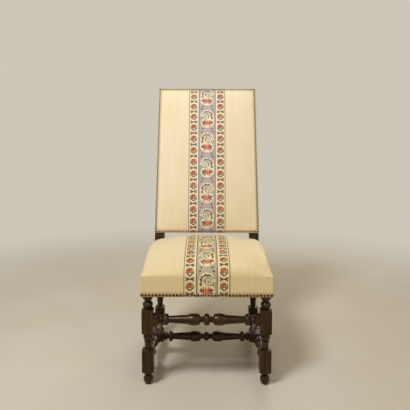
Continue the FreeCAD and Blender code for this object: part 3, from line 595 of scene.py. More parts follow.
def insets(sides):
    """How far the inner face lies in from each point of the edge, by the sides that it is on."""
    shifts = {}
    for corners, outward in sides:
        for corner in corners:
            shift = shifts.setdefault(corner, [0, 0])
            for axis in range(2):
                if outward[axis]:
                    shift[axis] = outward[axis] * CLOTH
    return shifts


def columns_between(post, outer, edge):
    """Columns as shares of the half width, close together at the posts, and those at their inner edges."""
    outside = graded(post, outer, edge, 0.0045, 0.006)
    between = graded(-post, post, 0.02, 0.006, 0.009)
    across = np.concatenate([-outside[::-1], between[1:-1], outside]) / outer
    return across, len(outside) - 1, len(across) - len(outside)


def heights_over(tree, across, along, widths, edges, notched=()):
    """A pad's height over its plan, read just inside its outline."""
    heights = np.empty((len(across), len(along)))
    for i, share in enumerate(across):
        for j, y in enumerate(along):
            half = edges[j] - JUST_INSIDE
            x = min(max(share * widths[j], -half), half)
            row = min(max(y, along[0] + JUST_INSIDE), along[-1] - JUST_INSIDE)
            if (i, j) in notched:
                row -= JUST_INSIDE
            heights[i, j] = tree.ray_cast(Vector((x, row, 1)), Vector((0, 0, -1)))[0].z
    return heights


def relaxed(heights, first, last, shelf):
    """Evens out the form's creases, and leaves its edges where they are."""
    for _ in range(CREASE_PASSES):
        around = heights.copy()
        around[1:-1] += heights[:-2] + heights[2:]
        around[1:-1] /= 3
        across = around.copy()
        across[:, 1:-1] += around[:, :-2] + around[:, 2:]
        across[:, 1:-1] /= 3
        heights[1:-1, 1:shelf] = across[1:-1, 1:shelf]
        heights[first + 1:last, shelf:-1] = across[first + 1:last, shelf:-1]
    wide, long = heights.shape
    near_side = np.minimum(np.arange(wide), wide - 1 - np.arange(wide))[:, None]
    near_end = np.minimum(np.arange(long), long - 1 - np.arange(long))[None, :]
    corner = 1 - smooth_step((np.hypot(near_side, near_end) - CORNER_CELLS) / CORNER_FADE)
    deep = smooth_step((np.minimum(near_side, near_end) - EDGE_CELLS) / EDGE_FADE)
    give = np.maximum(corner, deep)
    give[:, shelf:] *= shelf == long - 1
    for _ in range(FORM_PASSES):
        around = heights[:-2, 1:-1] + heights[2:, 1:-1] + heights[1:-1, :-2] + heights[1:-1, 2:]
        heights[1:-1, 1:-1] += (around / 4 - heights[1:-1, 1:-1]) * give[1:-1, 1:-1]


def seat_half(y):
    """Half the seat's width: it follows the legs and narrows between them."""
    share = (y - LEGS_REAR) / (POST_FRONT - LEGS_REAR)
    return HALF_FRONT + (HALF_REAR - HALF_FRONT) * min(max(share, 0), 1)


def along_seat(y):
    return min(max((y - SEAT_FRONT) / (POST_FRONT - SEAT_FRONT), 0), 1)


def stuffing_lift(share, y):
    """How the stuffing lifts the seat's sides and its front's right half, and leaves the corners low."""
    inward = (1 - abs(share)) * seat_half(y)
    forward = y - SEAT_FRONT
    side_lift = SIDE_LIFT_RIGHT if share > 0 else SIDE_LIFT_LEFT
    lift = side_lift * math.sin(math.pi * along_seat(y)) * math.exp(-((inward / SIDE_REACH) ** 2))
    aside = (share * seat_half(y) - FRONT_PLACE) / FRONT_SPREAD
    lift += FRONT_LIFT * math.exp(-(aside ** 2)) * math.exp(-((forward / SIDE_REACH) ** 2))
    return lift - CORNER_DROP * math.exp(-((math.hypot(inward, forward) / CORNER_REACH) ** 2))


def filled_out(point):
    """A point of the seat's cover, moved out where the stuffing fills its sides."""
    x, y, z = point
    above = float(smooth_step((z - SEAT_LEVEL) / SEAT_EASE))
    return x * (1 + SIDE_FULLNESS * math.sin(math.pi * along_seat(y)) * above), y, z


def seat_cover():
    """The seat's cloth as a patch over the pad, notched round the posts, with its skirts."""
    across, first, last = columns_between(NOTCH_X, HALF_REAR, 0.022)
    lengthwise = graded(SEAT_FRONT, NOTCH_Y, 0.03, 0.005, 0.009)
    along = np.concatenate([lengthwise, np.linspace(NOTCH_Y, SEAT_REAR, 9)[1:]])
    shelf = len(lengthwise) - 1
    rear = len(along) - 1
    right = len(across) - 1
    widths = [seat_half(y) for y in along]
    edges = widths[:shelf + 1] + [NOTCH_X] * (rear - shelf)
    notched = {(i, shelf) for i in range(right + 1) if not first <= i <= last}
    tree = tree_of(["seat_cover_left", "seat_cover_band", "seat_cover_right"], WORLD)
    heights = heights_over(tree, across, along, widths, edges, notched)
    relaxed(heights, first, last, shelf)
    for i, share in enumerate(across):
        for j in range(shelf + 1):
            heights[i, j] += stuffing_lift(share, along[j])

    def place(i, j):
        if j > shelf and not first <= i <= last:
            return None
        return across[i] * widths[j], along[j], heights[i, j]

    turns = (
        (0, 0), (right, 0), (right, shelf), (last, shelf),
        (last, rear), (first, rear), (first, shelf), (0, shelf), (0, 0),
    )
    sides = [side(start, end) for start, end in zip(turns, turns[1:])]
    hemmed = (0, 1, 4, 7)  # the front, the sides and the rear, which hang down over the rails
    skirt_rows = graded(RAIL_BASE, SEAT_LEVEL, 0.014, 0.0047, 0.009)[::-1]

    def full(z):
        return [*np.linspace(z, SEAT_LEVEL, 4)[:-1], *skirt_rows]

    def short(z):
        return np.linspace(z, SEAT_LEVEL, 4)

    cover = Cover(SEAT_LEVEL)
    inset = insets(sides)
    cover.top(right, rear, place, inset)
    for number, (corners, outward) in enumerate(sides):
        cover.skirt(corners, outward, full if number in hemmed else short, place, inset)
        if number in hemmed:
            cover.rolled += [(*corner, 0) for corner in corners]
    cover.outer = [filled_out(point) for point in cover.outer]
    return cover


def back_half(y):
    """Half the back's width over its cover, up the rake."""
    return POST_OUTER - POST_DRAW_IN / BACK_TOP * y + COVER_OUT


def back_cover():
    """The back's cloth as a patch over the pad, wrapped round the posts and both ends."""
    post_x = back_half(BACK_LOW) - COVER_OUT - LEG_SQUARE - CLOTH_GAP
    across, first, last = columns_between(post_x, back_half(BACK_LOW), 0.018)
    along = graded(BACK_LOW, BACK_HIGH, 0.045, 0.0045, 0.009)
    right = len(across) - 1
    top = len(along) - 1
    widths = [back_half(y) for y in along]
    tree = tree_of(["back_cover_left", "back_cover_band", "back_cover_right"], TO_BACK)
    heights = heights_over(tree, across, along, widths, widths)
    relaxed(heights, first, last, top)

    def place(i, j):
        return across[i] * widths[j], along[j], heights[i, j]

    def wrapped(z):
        return [z, *np.linspace(-CLOTH, -POST_DEPTH, 8)]

    sides = [side((first, 0), (last, 0))]
    sides += [side((right, 0), (right, top)), side((right, top), (0, top)), side((0, top), (0, 0))]
    cover = Cover(PAD_LEVEL)
    inset = insets(sides)
    cover.top(right, top, place, inset)
    for corners, outward in sides:
        cover.skirt(corners, outward, wrapped, place, inset)
    return cover


def blown_up(points, faces, cloth, free):
    """Lets the stuffing press the cloth out where it is free, and no point further than a cap."""
    working = as_mesh("working_cloth", points, faces, cloth)
    group = working.vertex_groups.new(name="held")
    for number, share in enumerate(free):
        group.add([number], 1 - float(share), "REPLACE")
    settings = working.modifiers.new("stuffing", "CLOTH").settings
    for name, value in CLOTH_SETTINGS.items():
        setattr(settings, name, value)
    settings.effector_weights.gravity = 0
    for step in range(1, SWELL_STEPS + 1):
        bpy.context.scene.frame_set(step)
    mesh = working.evaluated_get(bpy.context.evaluated_depsgraph_get()).to_mesh()
    pressed = np.empty(len(mesh.vertices) * 3)
    mesh.vertices.foreach_get("co", pressed)
    moved = pressed.reshape(-1, 3) - points
    bpy.data.objects.remove(working)
    bpy.context.scene.frame_set(1)
    length = np.linalg.norm(moved, axis=1, keepdims=True)
    return points + moved * np.minimum(1, SWELL_CAP / np.maximum(length, 1e-9))


def subdivided(points, faces, cloth, kind):
    """The same mesh with each face in four, as points, faces, and the corners' places on the cloth."""
    working = as_mesh("working_mesh", points, faces, cloth)
    modifier = working.modifiers.new("finer", "SUBSURF")
    modifier.levels = 1
    modifier.subdivision_type = kind
    modifier.boundary_smooth = "PRESERVE_CORNERS"
    depsgraph = bpy.context.evaluated_depsgraph_get()
    mesh = bpy.data.meshes.new_from_object(working.evaluated_get(depsgraph))
    finer = np.array([vert.co for vert in mesh.vertices])
    finer_faces = [list(polygon.vertices) for polygon in mesh.polygons]
    finer_cloth = np.array([loop.uv for loop in mesh.uv_layers["cloth"].data])
    bpy.data.objects.remove(working)
    bpy.data.meshes.remove(mesh)
    return finer, finer_faces, finer_cloth


def normals_of(points, faces):
    """The mean direction of the faces round each point."""
    corners = points[np.array(faces)]
    facing = np.cross(corners[:, 2] - corners[:, 0], corners[:, 3] - corners[:, 1])
    total = np.zeros_like(points)
    for c in range(4):
        np.add.at(total, np.array(faces)[:, c], facing)
    return total / np.maximum(np.linalg.norm(total, axis=1, keepdims=True), 1e-12)


def evened(values, faces, give, passes):
    """Each point's value drawn towards the mean of its neighbours', by its own share of give."""
    ends = np.array([edge for face in faces for edge in zip(face, face[1:] + face[:1])])
    both = np.concatenate([ends, ends[:, ::-1]])
    count = np.bincount(both[:, 0], minlength=len(values))[:, None]
    for _ in range(passes):
        total = np.zeros_like(values)
        np.add.at(total, both[:, 0], values[both[:, 1]])
        values = values + (total / count - values) * give[:, None]
    return values


def rolled(points, cover, roll):
    """Rounds the edge between the top and the sides, over the stuffing's roll."""
    if not roll:
        return points
    rim = near_tree([points[cover.number[key]] for key in cover.rolled])
    above = smooth_step((points[:, 2] - cover.level) / ROLL_EASE)
    give = np.exp(-((distance_to(rim, points) / roll) ** 2)) * above
    return evened(points, cover.faces, EVENING * give, ROLL_PASSES)


def uneven(points, normals, amount, scale, seed, free):
    """Soft unevenness in the stuffing below the cloth."""
    offset = Vector((seed, 0, 0))
    rise = np.array([noise.noise(Vector(point) * scale + offset) for point in points])
    return points + normals * (rise * amount * free)[:, None]


def nail_places(prefix, rows, to_local):
    """The middle of each nail's head, from the loose parts of the nail nodes."""
    places = []
    for row in rows:
        mesh = bmesh.new()
        mesh.from_mesh(nodes[prefix + row].data)
        bmesh.ops.remove_doubles(mesh, verts=mesh.verts, dist=1e-6)
        seen = set()
        for start in mesh.verts:
            if start in seen:
                continue
            part = [start]
            seen.add(start)
            for vert in part:
                near = [edge.other_vert(vert) for edge in vert.link_edges]
                part += [other for other in near if other not in seen]
                seen.update(near)
            places.append(to_local @ (sum((vert.co for vert in part), Vector()) / len(part)))
        mesh.free()
    return places


def puckered(points, normals, away, between=0.0009, reach=0.013, head=0.0055):
    """Lets the cloth swell between the nails that hold it down."""
    swell = between * (1 - np.exp(-((away / head) ** 2))) * np.exp(-((away / reach) ** 2))
    return points + normals * swell[:, None]


def mark_soil_and_shade(piece, away, reach):
    """Marks the grime and painted shade round the nails, as a value of each point."""
    layer = piece.data.attributes.new("nail_soil_and_shade", "FLOAT", "POINT")
    values = np.zeros(len(piece.data.vertices), np.float32)
    values[:len(away)] = np.exp(-((away / reach) ** 2))
    layer.data.foreach_set("value", values)


def closed(outer, inner, faces, cloth):
    """One closed form from the outer and inner points of the same mesh."""
    count = len(outer)
    edges = {edge: True for face in faces for edge in zip(face, face[1:] + face[:1])}
    rim = [(a, b) for a, b in edges if (b, a) not in edges]
    whole = faces + [[count + i for i in reversed(face)] for face in faces]
    whole += [[b, a, count + a, count + b] for a, b in rim]
    corners = np.array(cloth).reshape(-1, 4, 2)
    flat = {}
    for face, own in zip(faces, corners):
        flat.update(zip(face, own))
    hem = [[flat[b], flat[a], flat[a], flat[b]] for a, b in rim]
    return np.concatenate([outer, inner]), whole, np.concatenate([corners, corners[:, ::-1], hem])


def merge_inside(piece, first):
    """Merges the inner points that fell together."""
    mesh = bmesh.new()
    mesh.from_mesh(piece.data)
    inside = [vert for vert in mesh.verts if vert.index >= first]
    bmesh.ops.remove_doubles(mesh, verts=inside, dist=2e-5)
    mesh.to_mesh(piece.data)
    mesh.free()


def cushion(name, cover, free_share, nails, to_world, replaced, roll, nail_soil_and_shade):
    """A stuffed pad from its cover: pressed out, made finer, puckered at its nails, and closed."""
    outer = np.array(cover.outer)
    free = free_share(outer)
    outer[:, 2] -= SWELL_ROOM * free
    swell = blown_up(outer, cover.faces, cover.cloth, free) - outer
    outer += evened(swell, cover.faces, EVENING * np.minimum(1, 4 * free), SWELL_PASSES)
    outer = rolled(outer, cover, roll)
    outer, faces, cloth = subdivided(outer, cover.faces, cover.cloth, "CATMULL_CLARK")
    inner = subdivided(cover.inner, cover.faces, cover.cloth, "SIMPLE")[0]
    normals = normals_of(outer, faces)
    for amount, scale, seed in UNEVEN:
        outer = uneven(outer, normals, amount, scale, seed, free_share(outer))
    away = distance_to(near_tree(nails), outer)
    outer = puckered(outer, normals, away)
    piece = new_piece(name, *closed(outer, inner, faces, cloth), to_world, LINEN, "ribbed_linen", replaced)
    mark_soil_and_shade(piece, away, nail_soil_and_shade)
    merge_inside(piece, len(outer))
    return piece, outer, faces


def seat_freedom(points):
    """0 where the seat's cloth lies on the frame, 1 well up on its crown."""
    return smooth_step((points[:, 2] - RAIL_TOP - PAD_LEVEL) / SEAT_EASE)


def back_freedom(points):
    return smooth_step((points[:, 2] - COVER_OUT) / BACK_EASE)


# Needlework, in millimetres on the flat band: u across from its middle, v up from the hem
STITCH = 0.0015
PATTERN_SCALE = 0.965
EDGE_LINE = (87.4, 90.8)
LIGHT_LINE = (43.0, 45.6)
DARK_LINE = (39.2, 43.0)
FLOWER_COLUMN = 66.2
FLOWER_PITCH = 58.7
MEDALLION_PITCH = 125.7
CROWDED_ABOVE = 530.0  # the back's pattern is worked a little closer above this
CROWDING = 0.075
CURL = (-8.0, 18.0)
CURL_STEP = 9.6
HEAD_HEIGHT = 17.0
BOWL_TILT = math.radians(-13)
FLOWER_MIDDLE = 3.0
LEAF_HALF = 16.4
LIGHT_SPREAD = 0.09
TINT_SPREAD = 0.035

# The band's cloth, in metres: how far it lies off the pad, and the grime and painted shade along its nails
BAND_LIFT = 0.0009
HEM_LIFT = 0.0003
HEM_EASE = 0.016
RIM_LIFT = 0.00008
GRIME_AND_SHADE_DEPTH = 0.6
GRIME_AND_SHADE_REACH = 0.0065
RAY_STEP = 0.002
RAY_TURN = 3  # degrees
FAR = 0.1  # from the cover to the rays' starts
DYE_LEVELS = {
    "cream": (243, 229, 200),
    "pale": (250, 241, 218),
    "edge": (116, 92, 42),
    "slate": (50, 36, 20),
    "red": (184, 80, 44),
    "deep_red": (138, 54, 34),
    "orange": (224, 132, 76),
    "pink": (214, 150, 134),
    "leaf": (110, 112, 46),
    "sage": (164, 156, 104),
    "olive": (72, 56, 16),
    "tie": (64, 52, 16),
    "dark_green": (44, 40, 12),
    "navy": (34, 32, 36),
    "mauve": (190, 170, 174),
    "blue_grey": (164, 168, 166),
    "stone": (188, 182, 166),
    # the colour of the grime and painted shade along the nails
    "grime_and_shade": (90, 68, 38),
    "rust": (150, 68, 40),
}
DYES = {name: np.array(linear(*levels)) for name, levels in DYE_LEVELS.items()}


class Motif:
    """Dyes laid on a part of the chart, with a across and b up from the motif's own middle."""

    def __init__(self, colours, part, a, b):
        self.colours = colours
        self.part = part
        self.a = a
        self.b = b

    def dye(self, name, where=True):
        self.colours[self.part & where] = DYES[name]

    def ovals(self, *rows):
        """Ovals over each other, each as (centre a, centre b, half width, half height, dye)."""
        for centre_a, centre_b, half_width, half_height, name in rows:
            out = ((self.a - centre_a) / half_width) ** 2 + ((self.b - centre_b) / half_height) ** 2
            self.dye(name, out < 1)


def side_strips(colours, u, v, first_flower):
    """Red flowers in pointed green cups, with a bow-tie leaf between each two, on both sides."""
    a = u - np.sign(u) * FLOWER_COLUMN
    b = (v - first_flower + FLOWER_PITCH / 2) % FLOWER_PITCH - FLOWER_PITCH / 2
    half_way = np.abs((v - first_flower) % FLOWER_PITCH - FLOWER_PITCH / 2)
    aside = np.abs(a)
    strip = Motif(colours, (np.abs(u) > LIGHT_LINE[0]) & (np.abs(u) < EDGE_LINE[1]), a, b)
    strip.dye("cream")
    cup = (aside < LEAF_HALF) & (b < 8) & (-b < 20 - 0.8 * aside)
    strip.dye("olive", cup)
    strip.dye("leaf", cup & (aside < 13.0) & (-b < 15.5 - 0.8 * aside))
    strip.ovals(
        (-1.0, 4.6, 15.2, 14.0, "pale"),
        (-0.6, 3.8, 14.0, 12.8, "rust"),
        (-3.4, 6.8, 9.0, 8.4, "red"),
        (0.0, 5.0, 4.2, 3.6, "deep_red"),
        (3.4, 0.6, 3.6, 3.2, "orange"),
        (9.6, 2.0, 3.6, 6.4, "sage"),
    )
    spot = np.abs(a - 0.8) + np.abs(b + 8.6)
    strip.dye("olive", spot < 7.0)
    strip.dye("pale", spot < 4.8)
    reach = 2.8 + np.clip(aside - 2, 0, None) * 0.46
    tie = (half_way < reach) & (aside < LEAF_HALF)
    strip.dye("tie", tie)
    strip.dye("olive", tie & (half_way < reach - 3.0) & (aside > 7) & (aside < 14))
    strip.dye("cream", tie & (half_way < 1.2) & (aside > 13))
    strip.dye("rust", tie & (aside < 4.6) & (half_way < 2.6))


def medallions(colours, u, v, first_medallion, first_side):
    """Comma-shaped medallions with a curl at the top and a flower in the bowl, turned by turns."""
    count = np.round((v - first_medallion) / MEDALLION_PITCH)
    b = v - first_medallion - count * MEDALLION_PITCH
    a = u * np.where(count % 2 == 0, first_side, -first_side)
    strip = Motif(colours, np.abs(u) < DARK_LINE[0], a, b)
    head = np.hypot(a, b - HEAD_HEIGHT)
    along = (a - 1) * math.cos(BOWL_TILT) - (b + 21) * math.sin(BOWL_TILT)
    up = (a - 1) * math.sin(BOWL_TILT) + (b + 21) * math.cos(BOWL_TILT)
    over = (b > 0) & ~((a < -4) & (b < 12))
    flank = (a > 0) & (b < HEAD_HEIGHT) & (b > -24)
    for reach, name in ((33.0, "pale"), (28.4, "cream")):
        strip.dye(name, (head < reach) & over)
        strip.dye(name, flank & (a < reach))
    for hem, name in ((0.0, "pale"), (4.2, "cream")):
        strip.dye(name, (along / (32.5 - hem)) ** 2 + (up / (28.0 - hem)) ** 2 < 1)
    medallion_head(strip, a, b)
    medallion_flower(strip, a, b)
    gap = (v - first_medallion) % MEDALLION_PITCH - MEDALLION_PITCH / 2
    for place_a, place_b in ((22.0, 7.5), (25.7, -7.5)):
        near = np.maximum(np.abs(np.abs(u) - place_a), np.abs(gap - place_b))
        strip.dye("navy", near < 4.0)
        tail = np.maximum(np.abs(np.abs(u) - place_a + 5.5), np.abs(gap - place_b + 3.5))
        strip.dye("pale", tail < 1.6)


def medallion_head(strip, a, b):
    """The curl, the dark scallops over it and the leafy stem at the closed side."""
    ring = np.hypot(a - CURL[0], b - CURL[1])
    turn = np.degrees(np.arctan2(b - HEAD_HEIGHT, a))
    zigzag = np.abs((turn / 19) % 2 - 1) * 5.4 - 2.7
    teeth = np.abs(np.hypot(a, b - HEAD_HEIGHT) - 24.0 - zigzag) < 3.2
    strip.dye("dark_green", teeth & (turn > 32) & (turn < 160))
    strip.ovals(
        (21.6, 21.0, 5.0, 9.0, "rust"),
        (25.5, 25.5, 2.6, 3.4, "dark_green"),
        (24.0, 5.0, 5.4, 7.4, "leaf"),
        (24.5, 7.0, 2.4, 3.0, "dark_green"),
        (20.5, 1.0, 2.4, 2.6, "olive"),
        (*CURL, 19.6, 19.6, "olive"),
        (*CURL, 17.2, 17.2, "pale"),
    )
    winding = (np.degrees(np.arctan2(b - CURL[1], a - CURL[0])) + 150) % 360 / 360
    groove = (ring + CURL_STEP * winding) % CURL_STEP > CURL_STEP - 3.9
    strip.dye("olive", groove & (ring < 15.5) & (ring > 2))
    sweep = np.abs(np.hypot(a + 22, b - 14) - 24.5)
    neck = (b < 12) & (b > -8) & (a > -4)
    strip.dye("olive", neck & (sweep < 3.4))
    strip.dye("pale", neck & (sweep < 2.2))


def medallion_flower(strip, a, b):
    """Pointed petals side by side in the bowl, orange in the middle, with dark leaves at the open side."""
    petals = (
        (22.6, 3.4, -12.0, -29.0, "deep_red"),
        (16.4, 4.4, -6.5, -33.0, "deep_red"),
        (9.2, 4.4, -2.5, -37.0, "red"),
        (0.0, 5.0, -6.0, -38.5, "red"),
    )
    for place, half, top, foot, name in petals:
        width = half * np.clip(np.minimum(top - b, b - foot) / 9, 0, 1)
        for way in (-1, 1):
            strip.dye(name, np.abs(a - FLOWER_MIDDLE - way * place) < width)
    aside = np.abs(a - FLOWER_MIDDLE)
    veins = (
        (5.2, 0.9, -35, -16, "pink"),
        (6.0 + (b + 16) * 0.12, 1.1, -16, -4, "pale"),
        (13.2, 0.9, -15, -4, "pale"),
        (13.2, 0.8, -34, -25, "pink"),
    )
    for place, half, foot, top, name in veins:
        strip.dye(name, (np.abs(aside - place) < half) & (b > foot) & (b < top))
    strip.ovals(
        (FLOWER_MIDDLE, -20.5, 6.6, 9.0, "orange"),
        (FLOWER_MIDDLE, -19.5, 2.2, 3.0, "rust"),
        (-19.5, -31.0, 5.4, 3.8, "dark_green"),
        (-22.5, -19.0, 4.4, 3.8, "dark_green"),
        (-12.0, -38.5, 3.2, 3.8, "dark_green"),
        (14.0, -39.0, 4.0, 2.6, "olive"),
    )


def needlework_chart(u, v, chart):
    """The colour of each stitch, with the small differences of dyed wool."""
    from_middle = np.abs(u)
    drift = np.sin(v / 41.0) * 0.5 + np.sin(v / 17.0 + u / 9.0) * 0.25 + from_middle / 80.0
    share = smooth_step(drift)[..., None]
    ground = DYES["mauve"] * (1 - share) + DYES["blue_grey"] * share
    colours = ground * (1 - chart["stone"]) + DYES["stone"] * chart["stone"]
    v = v + CROWDING * np.clip(v - CROWDED_ABOVE, 0, None)
    band = Motif(colours, True, u, v)
    medallions(colours, u, v, chart["medallion"], chart["side"])
    band.dye("slate", (from_middle > DARK_LINE[0]) & (from_middle < DARK_LINE[1]))
    side_strips(colours, u, v, chart["flower"])
    band.dye("pale", (from_middle > LIGHT_LINE[0]) & (from_middle < LIGHT_LINE[1]))
    band.dye("edge", from_middle > EDGE_LINE[0])
    colours = colours * (1 - chart["faded"]) + DYES["pale"] * chart["faded"]
    # Painted light: each band is tinted for how it is lit, the seat's warmer and the back's brighter.
    colours = colours * chart["painted_light_tint"]
    random = np.random.RandomState(chart["seed"])
    light = 1 + LIGHT_SPREAD * random.standard_normal(u.shape)
    tint = 1 + TINT_SPREAD * random.standard_normal(u.shape + (3,))
    return np.clip(colours * light[..., None] * tint, 0, 1)


def ray_row(start, end, direction):
    """Rays side by side, from places on a line, as (y, z) pairs."""
    count = max(2, round(math.dist(start, end) / RAY_STEP))
    step = ((end[0] - start[0]) / count, (end[1] - start[1]) / count)
    return [((start[0] + step[0] * i, start[1] + step[1] * i), direction) for i in range(count)]


def ray_fan(centre, radius, start, end):
    """Rays towards a centre, turning about it between two angles from +Y towards +Z, in degrees."""
    count = max(2, round(abs(end - start) / RAY_TURN))
    rays = []
    for i in range(count):
        angle = math.radians(start + (end - start) * i / count)
        way = (math.cos(angle), math.sin(angle))
        place = (centre[0] + radius * way[0], centre[1] + radius * way[1])
        rays.append((place, (-way[0], -way[1])))
    return rays


def profile_of(tree, rays):
    """Points along the middle of a pad, where rays in its middle plane meet it."""
    hits = [tree.ray_cast(Vector((0, *place)), Vector((0, *direction)))[0] for place, direction in rays]
    return np.array([(hit.y, hit.z) for hit in hits if hit is not None])


def even_steps(path, step):
    """Places at an even step along a path of points, with the outward direction at each."""
    lengths = np.concatenate([[0], np.cumsum(np.linalg.norm(np.diff(path, axis=0), axis=1))])
    at = np.arange(int(lengths[-1] // step) + 1) * step
    reach = 0.006

    def along(distances):
        return np.stack([np.interp(distances, lengths, path[:, k]) for k in range(2)], axis=1)

    way = along(at + reach) - along(at - reach)
    way /= np.linalg.norm(way, axis=1, keepdims=True)
    return at, along(at), np.stack([-way[:, 1], way[:, 0]], axis=1)


def laid(tree, across, places, outward):
    """Where the corner of each stitch meets the pad, a little evened out."""
    above = 0.05
    grid = np.empty((len(places), len(across), 3))
    for r, place in enumerate(places):
        way = Vector((0, *outward[r]))
        for c, x in enumerate(across):
            foot = Vector((x, *place))
            hit = tree.ray_cast(foot + way * above, -way)[0]
            grid[r, c] = foot if hit is None else hit
    for _ in range(2):
        grid[1:-1, 1:-1] = (grid[1:-1, 1:-1] * 2 + grid[:-2, 1:-1] + grid[2:, 1:-1]) / 4
        grid[1:-1, 1:-1] = (grid[1:-1, 1:-1] * 2 + grid[1:-1, :-2] + grid[1:-1, 2:]) / 4
    return grid


def cells(grid):
    """The four corners of each cell of a grid, in turn round it."""
    return np.stack([grid[:-1, :-1], grid[:-1, 1:], grid[1:, 1:], grid[1:, :-1]], axis=2)


def stitch_colours(across, at, chart):
    """The chart's colours over the band, darkened near the nails by grime and painted shade."""
    middle_x = (across[:-1] + across[1:]) / 2
    middle_y = (at[:-1] + at[1:]) / 2
    u, v = np.meshgrid(middle_x * MM / PATTERN_SCALE, (middle_y - chart["hem"]) * MM / PATTERN_SCALE)
    from_edge = np.minimum(middle_y, at[-1] - middle_y) - chart["hem"]
    # grime and painted shade along the nail rows
    grime_and_shade = GRIME_AND_SHADE_DEPTH * np.exp(-(((from_edge - NAIL_EDGE) / GRIME_AND_SHADE_REACH) ** 2))[:, None, None]
    colours = needlework_chart(u, v, chart) * (1 - grime_and_shade) + DYES["grime_and_shade"] * grime_and_shade
    return colours.reshape(-1, 3)


def needlework(name, outer, faces, rays, chart, to_world, replaced):
    """The worked band: one quad for each stitch, laid on the pad along its middle."""
    tree = BVHTree.FromPolygons([Vector(point) for point in outer], faces)
    at, places, outward = even_steps(profile_of(tree, rays), STITCH)
    across = np.linspace(-BAND_HALF, BAND_HALF, round(2 * BAND_HALF / STITCH) + 1)
    grid = laid(tree, across, places, outward)
    under = grid.copy()
    under[..., 1:] += outward[:, None, :] * RIM_LIFT
    from_hem = np.minimum(at, at[-1] - at)
    height = HEM_LIFT + (BAND_LIFT - HEM_LIFT) * smooth_step((from_hem - chart["plain"]) / HEM_EASE)
    grid[..., 1:] += outward[:, None, :] * height[:, None, None]
    number = np.arange(len(at) * len(across)).reshape(len(at), len(across))
    flat = np.stack(np.meshgrid(across + BAND_HALF, at), axis=-1)
    loop = np.concatenate([number[0], number[1:, -1], number[-1, -2::-1], number[-2:0:-1, 0]])
    ahead = np.roll(loop, -1)
    below = number.size + np.arange(len(loop))
    rim = np.stack([ahead, loop, below, np.roll(below, -1)], axis=1)
    rim_cloth = flat.reshape(-1, 2)[np.stack([ahead, loop, loop, ahead], axis=1)]
    points = np.concatenate([grid.reshape(-1, 3), under.reshape(-1, 3)[loop]])
    all_faces = np.concatenate([cells(number).reshape(-1, 4), rim]).tolist()
    cloth = np.concatenate([cells(flat).reshape(-1, 4, 2), rim_cloth])
    piece = new_piece(name, points, all_faces, cloth, to_world, WOOL, "needlework", replaced)
    colours = np.ones((len(all_faces), 4))
    colours[:, :3] = np.concatenate([stitch_colours(across, at, chart), [DYES["edge"]] * len(rim)])
    layer = piece.data.color_attributes.new("stitch", "FLOAT_COLOR", "CORNER")
    layer.data.foreach_set("color", np.repeat(colours, 4, axis=0).astype(np.float32).ravel())


def seat_band_path():
    """Rays for the seat band's middle: up the front, over the crown and down the rear."""
    inward = 0.045
    crown = band_high.z + FAR
    base = RAIL_BASE + 0.0003
    turn = RAIL_TOP + 0.001
    rays = ray_row((SEAT_FRONT - FAR, base), (SEAT_FRONT - FAR, turn), (1, 0))
    rays += ray_fan((SEAT_FRONT + inward, turn), FAR, 180, 90)
    rays += ray_row((SEAT_FRONT + inward, crown), (SEAT_REAR - inward, crown), (0, -1))
    rays += ray_fan((SEAT_REAR - inward, turn), FAR, 90, 0)
    return rays + ray_row((SEAT_REAR + FAR, turn), (SEAT_REAR + FAR, base), (-1, 0))


def back_band_path():
    """Rays for the back band's middle: under its lower end, up the front and over its top."""
    rear = 0.0004 - POST_DEPTH
    front = 0.0005
    inward = 0.0012
    rays = ray_row((BACK_LOW - FAR, rear), (BACK_LOW - FAR, front), (1, 0))
    rays += ray_row((BACK_LOW + inward, FAR), (BACK_HIGH - inward, FAR), (0, -1))
    return rays + ray_row((BACK_HIGH + FAR, front), (BACK_HIGH + FAR, rear), (-1, 0))


def local_box(name, to_local):
    points = np.array([to_local @ vert.co for vert in nodes[name].data.vertices])
    return Vector(points.min(axis=0)), Vector(points.max(axis=0))


def woven(start, end, crossings, first_over, at, axis):
    """The line of a web that goes over and under those that cross it, and lies on the wood at its ends."""
    line = []
    steps = round((end - start) / WEB_STEP)
    for i in range(steps + 1):
        t = start + (end - start) * i / steps
        nearest = min(range(len(crossings)), key=lambda k: abs(crossings[k] - t))
        gap = abs(crossings[nearest] - t)
        over = 1 if (nearest + first_over) % 2 == 0 else -1
        sway = 1 - float(smooth_step((gap - WEB_WIDTH / 2) / WEB_EASE))
        held = float(smooth_step((min(t - start, end - t) - WEB_ON_WOOD) / WEB_EASE))
        place = [at, at, WEB_THICKNESS / 2 * (1 + held * (1 + over * sway))]
        place[axis] = t
        line.append(Vector(place))
    return line


def web_layer(name, node, axis, places, crossings, to_world):
    """All the webs that run one way, as one piece."""
    low, high = local_box(node, to_world.inverted())
    sideways = Vector((1, 0, 0)) if axis == 1 else Vector((0, -1, 0))
    up = np.array((0, 0, WEB_MADE / 2))
    offsets = np.linspace(-WEB_WIDTH / 2, WEB_WIDTH / 2, WEB_COLUMNS + 1)
    middle = []
    flat = []
    faces = []
    for k, place in enumerate(places):
        line = woven(low[axis], high[axis], crossings, k + 1 - axis, place, axis)
        along = 0.0
        for r, point in enumerate(line):
            if r:
                along += (point - line[r - 1]).length
                for c in range(len(middle), len(middle) + WEB_COLUMNS):
                    before = c - len(offsets)
                    faces.append([before, before + 1, c + 1, c])
            middle += [point + sideways * offset for offset in offsets]
            flat += [(offset, along) for offset in offsets]
    middle = np.array(middle)
    cloth = np.array(flat)[np.array(faces)]
    form = closed(middle + up, middle - up, faces, cloth)
    new_piece(name, *form, to_world, WEBBING, "jute_webbing", [node])


def spread(low, high, count):
    return [low + (high - low) * (i + 0.5) / count for i in range(count)]


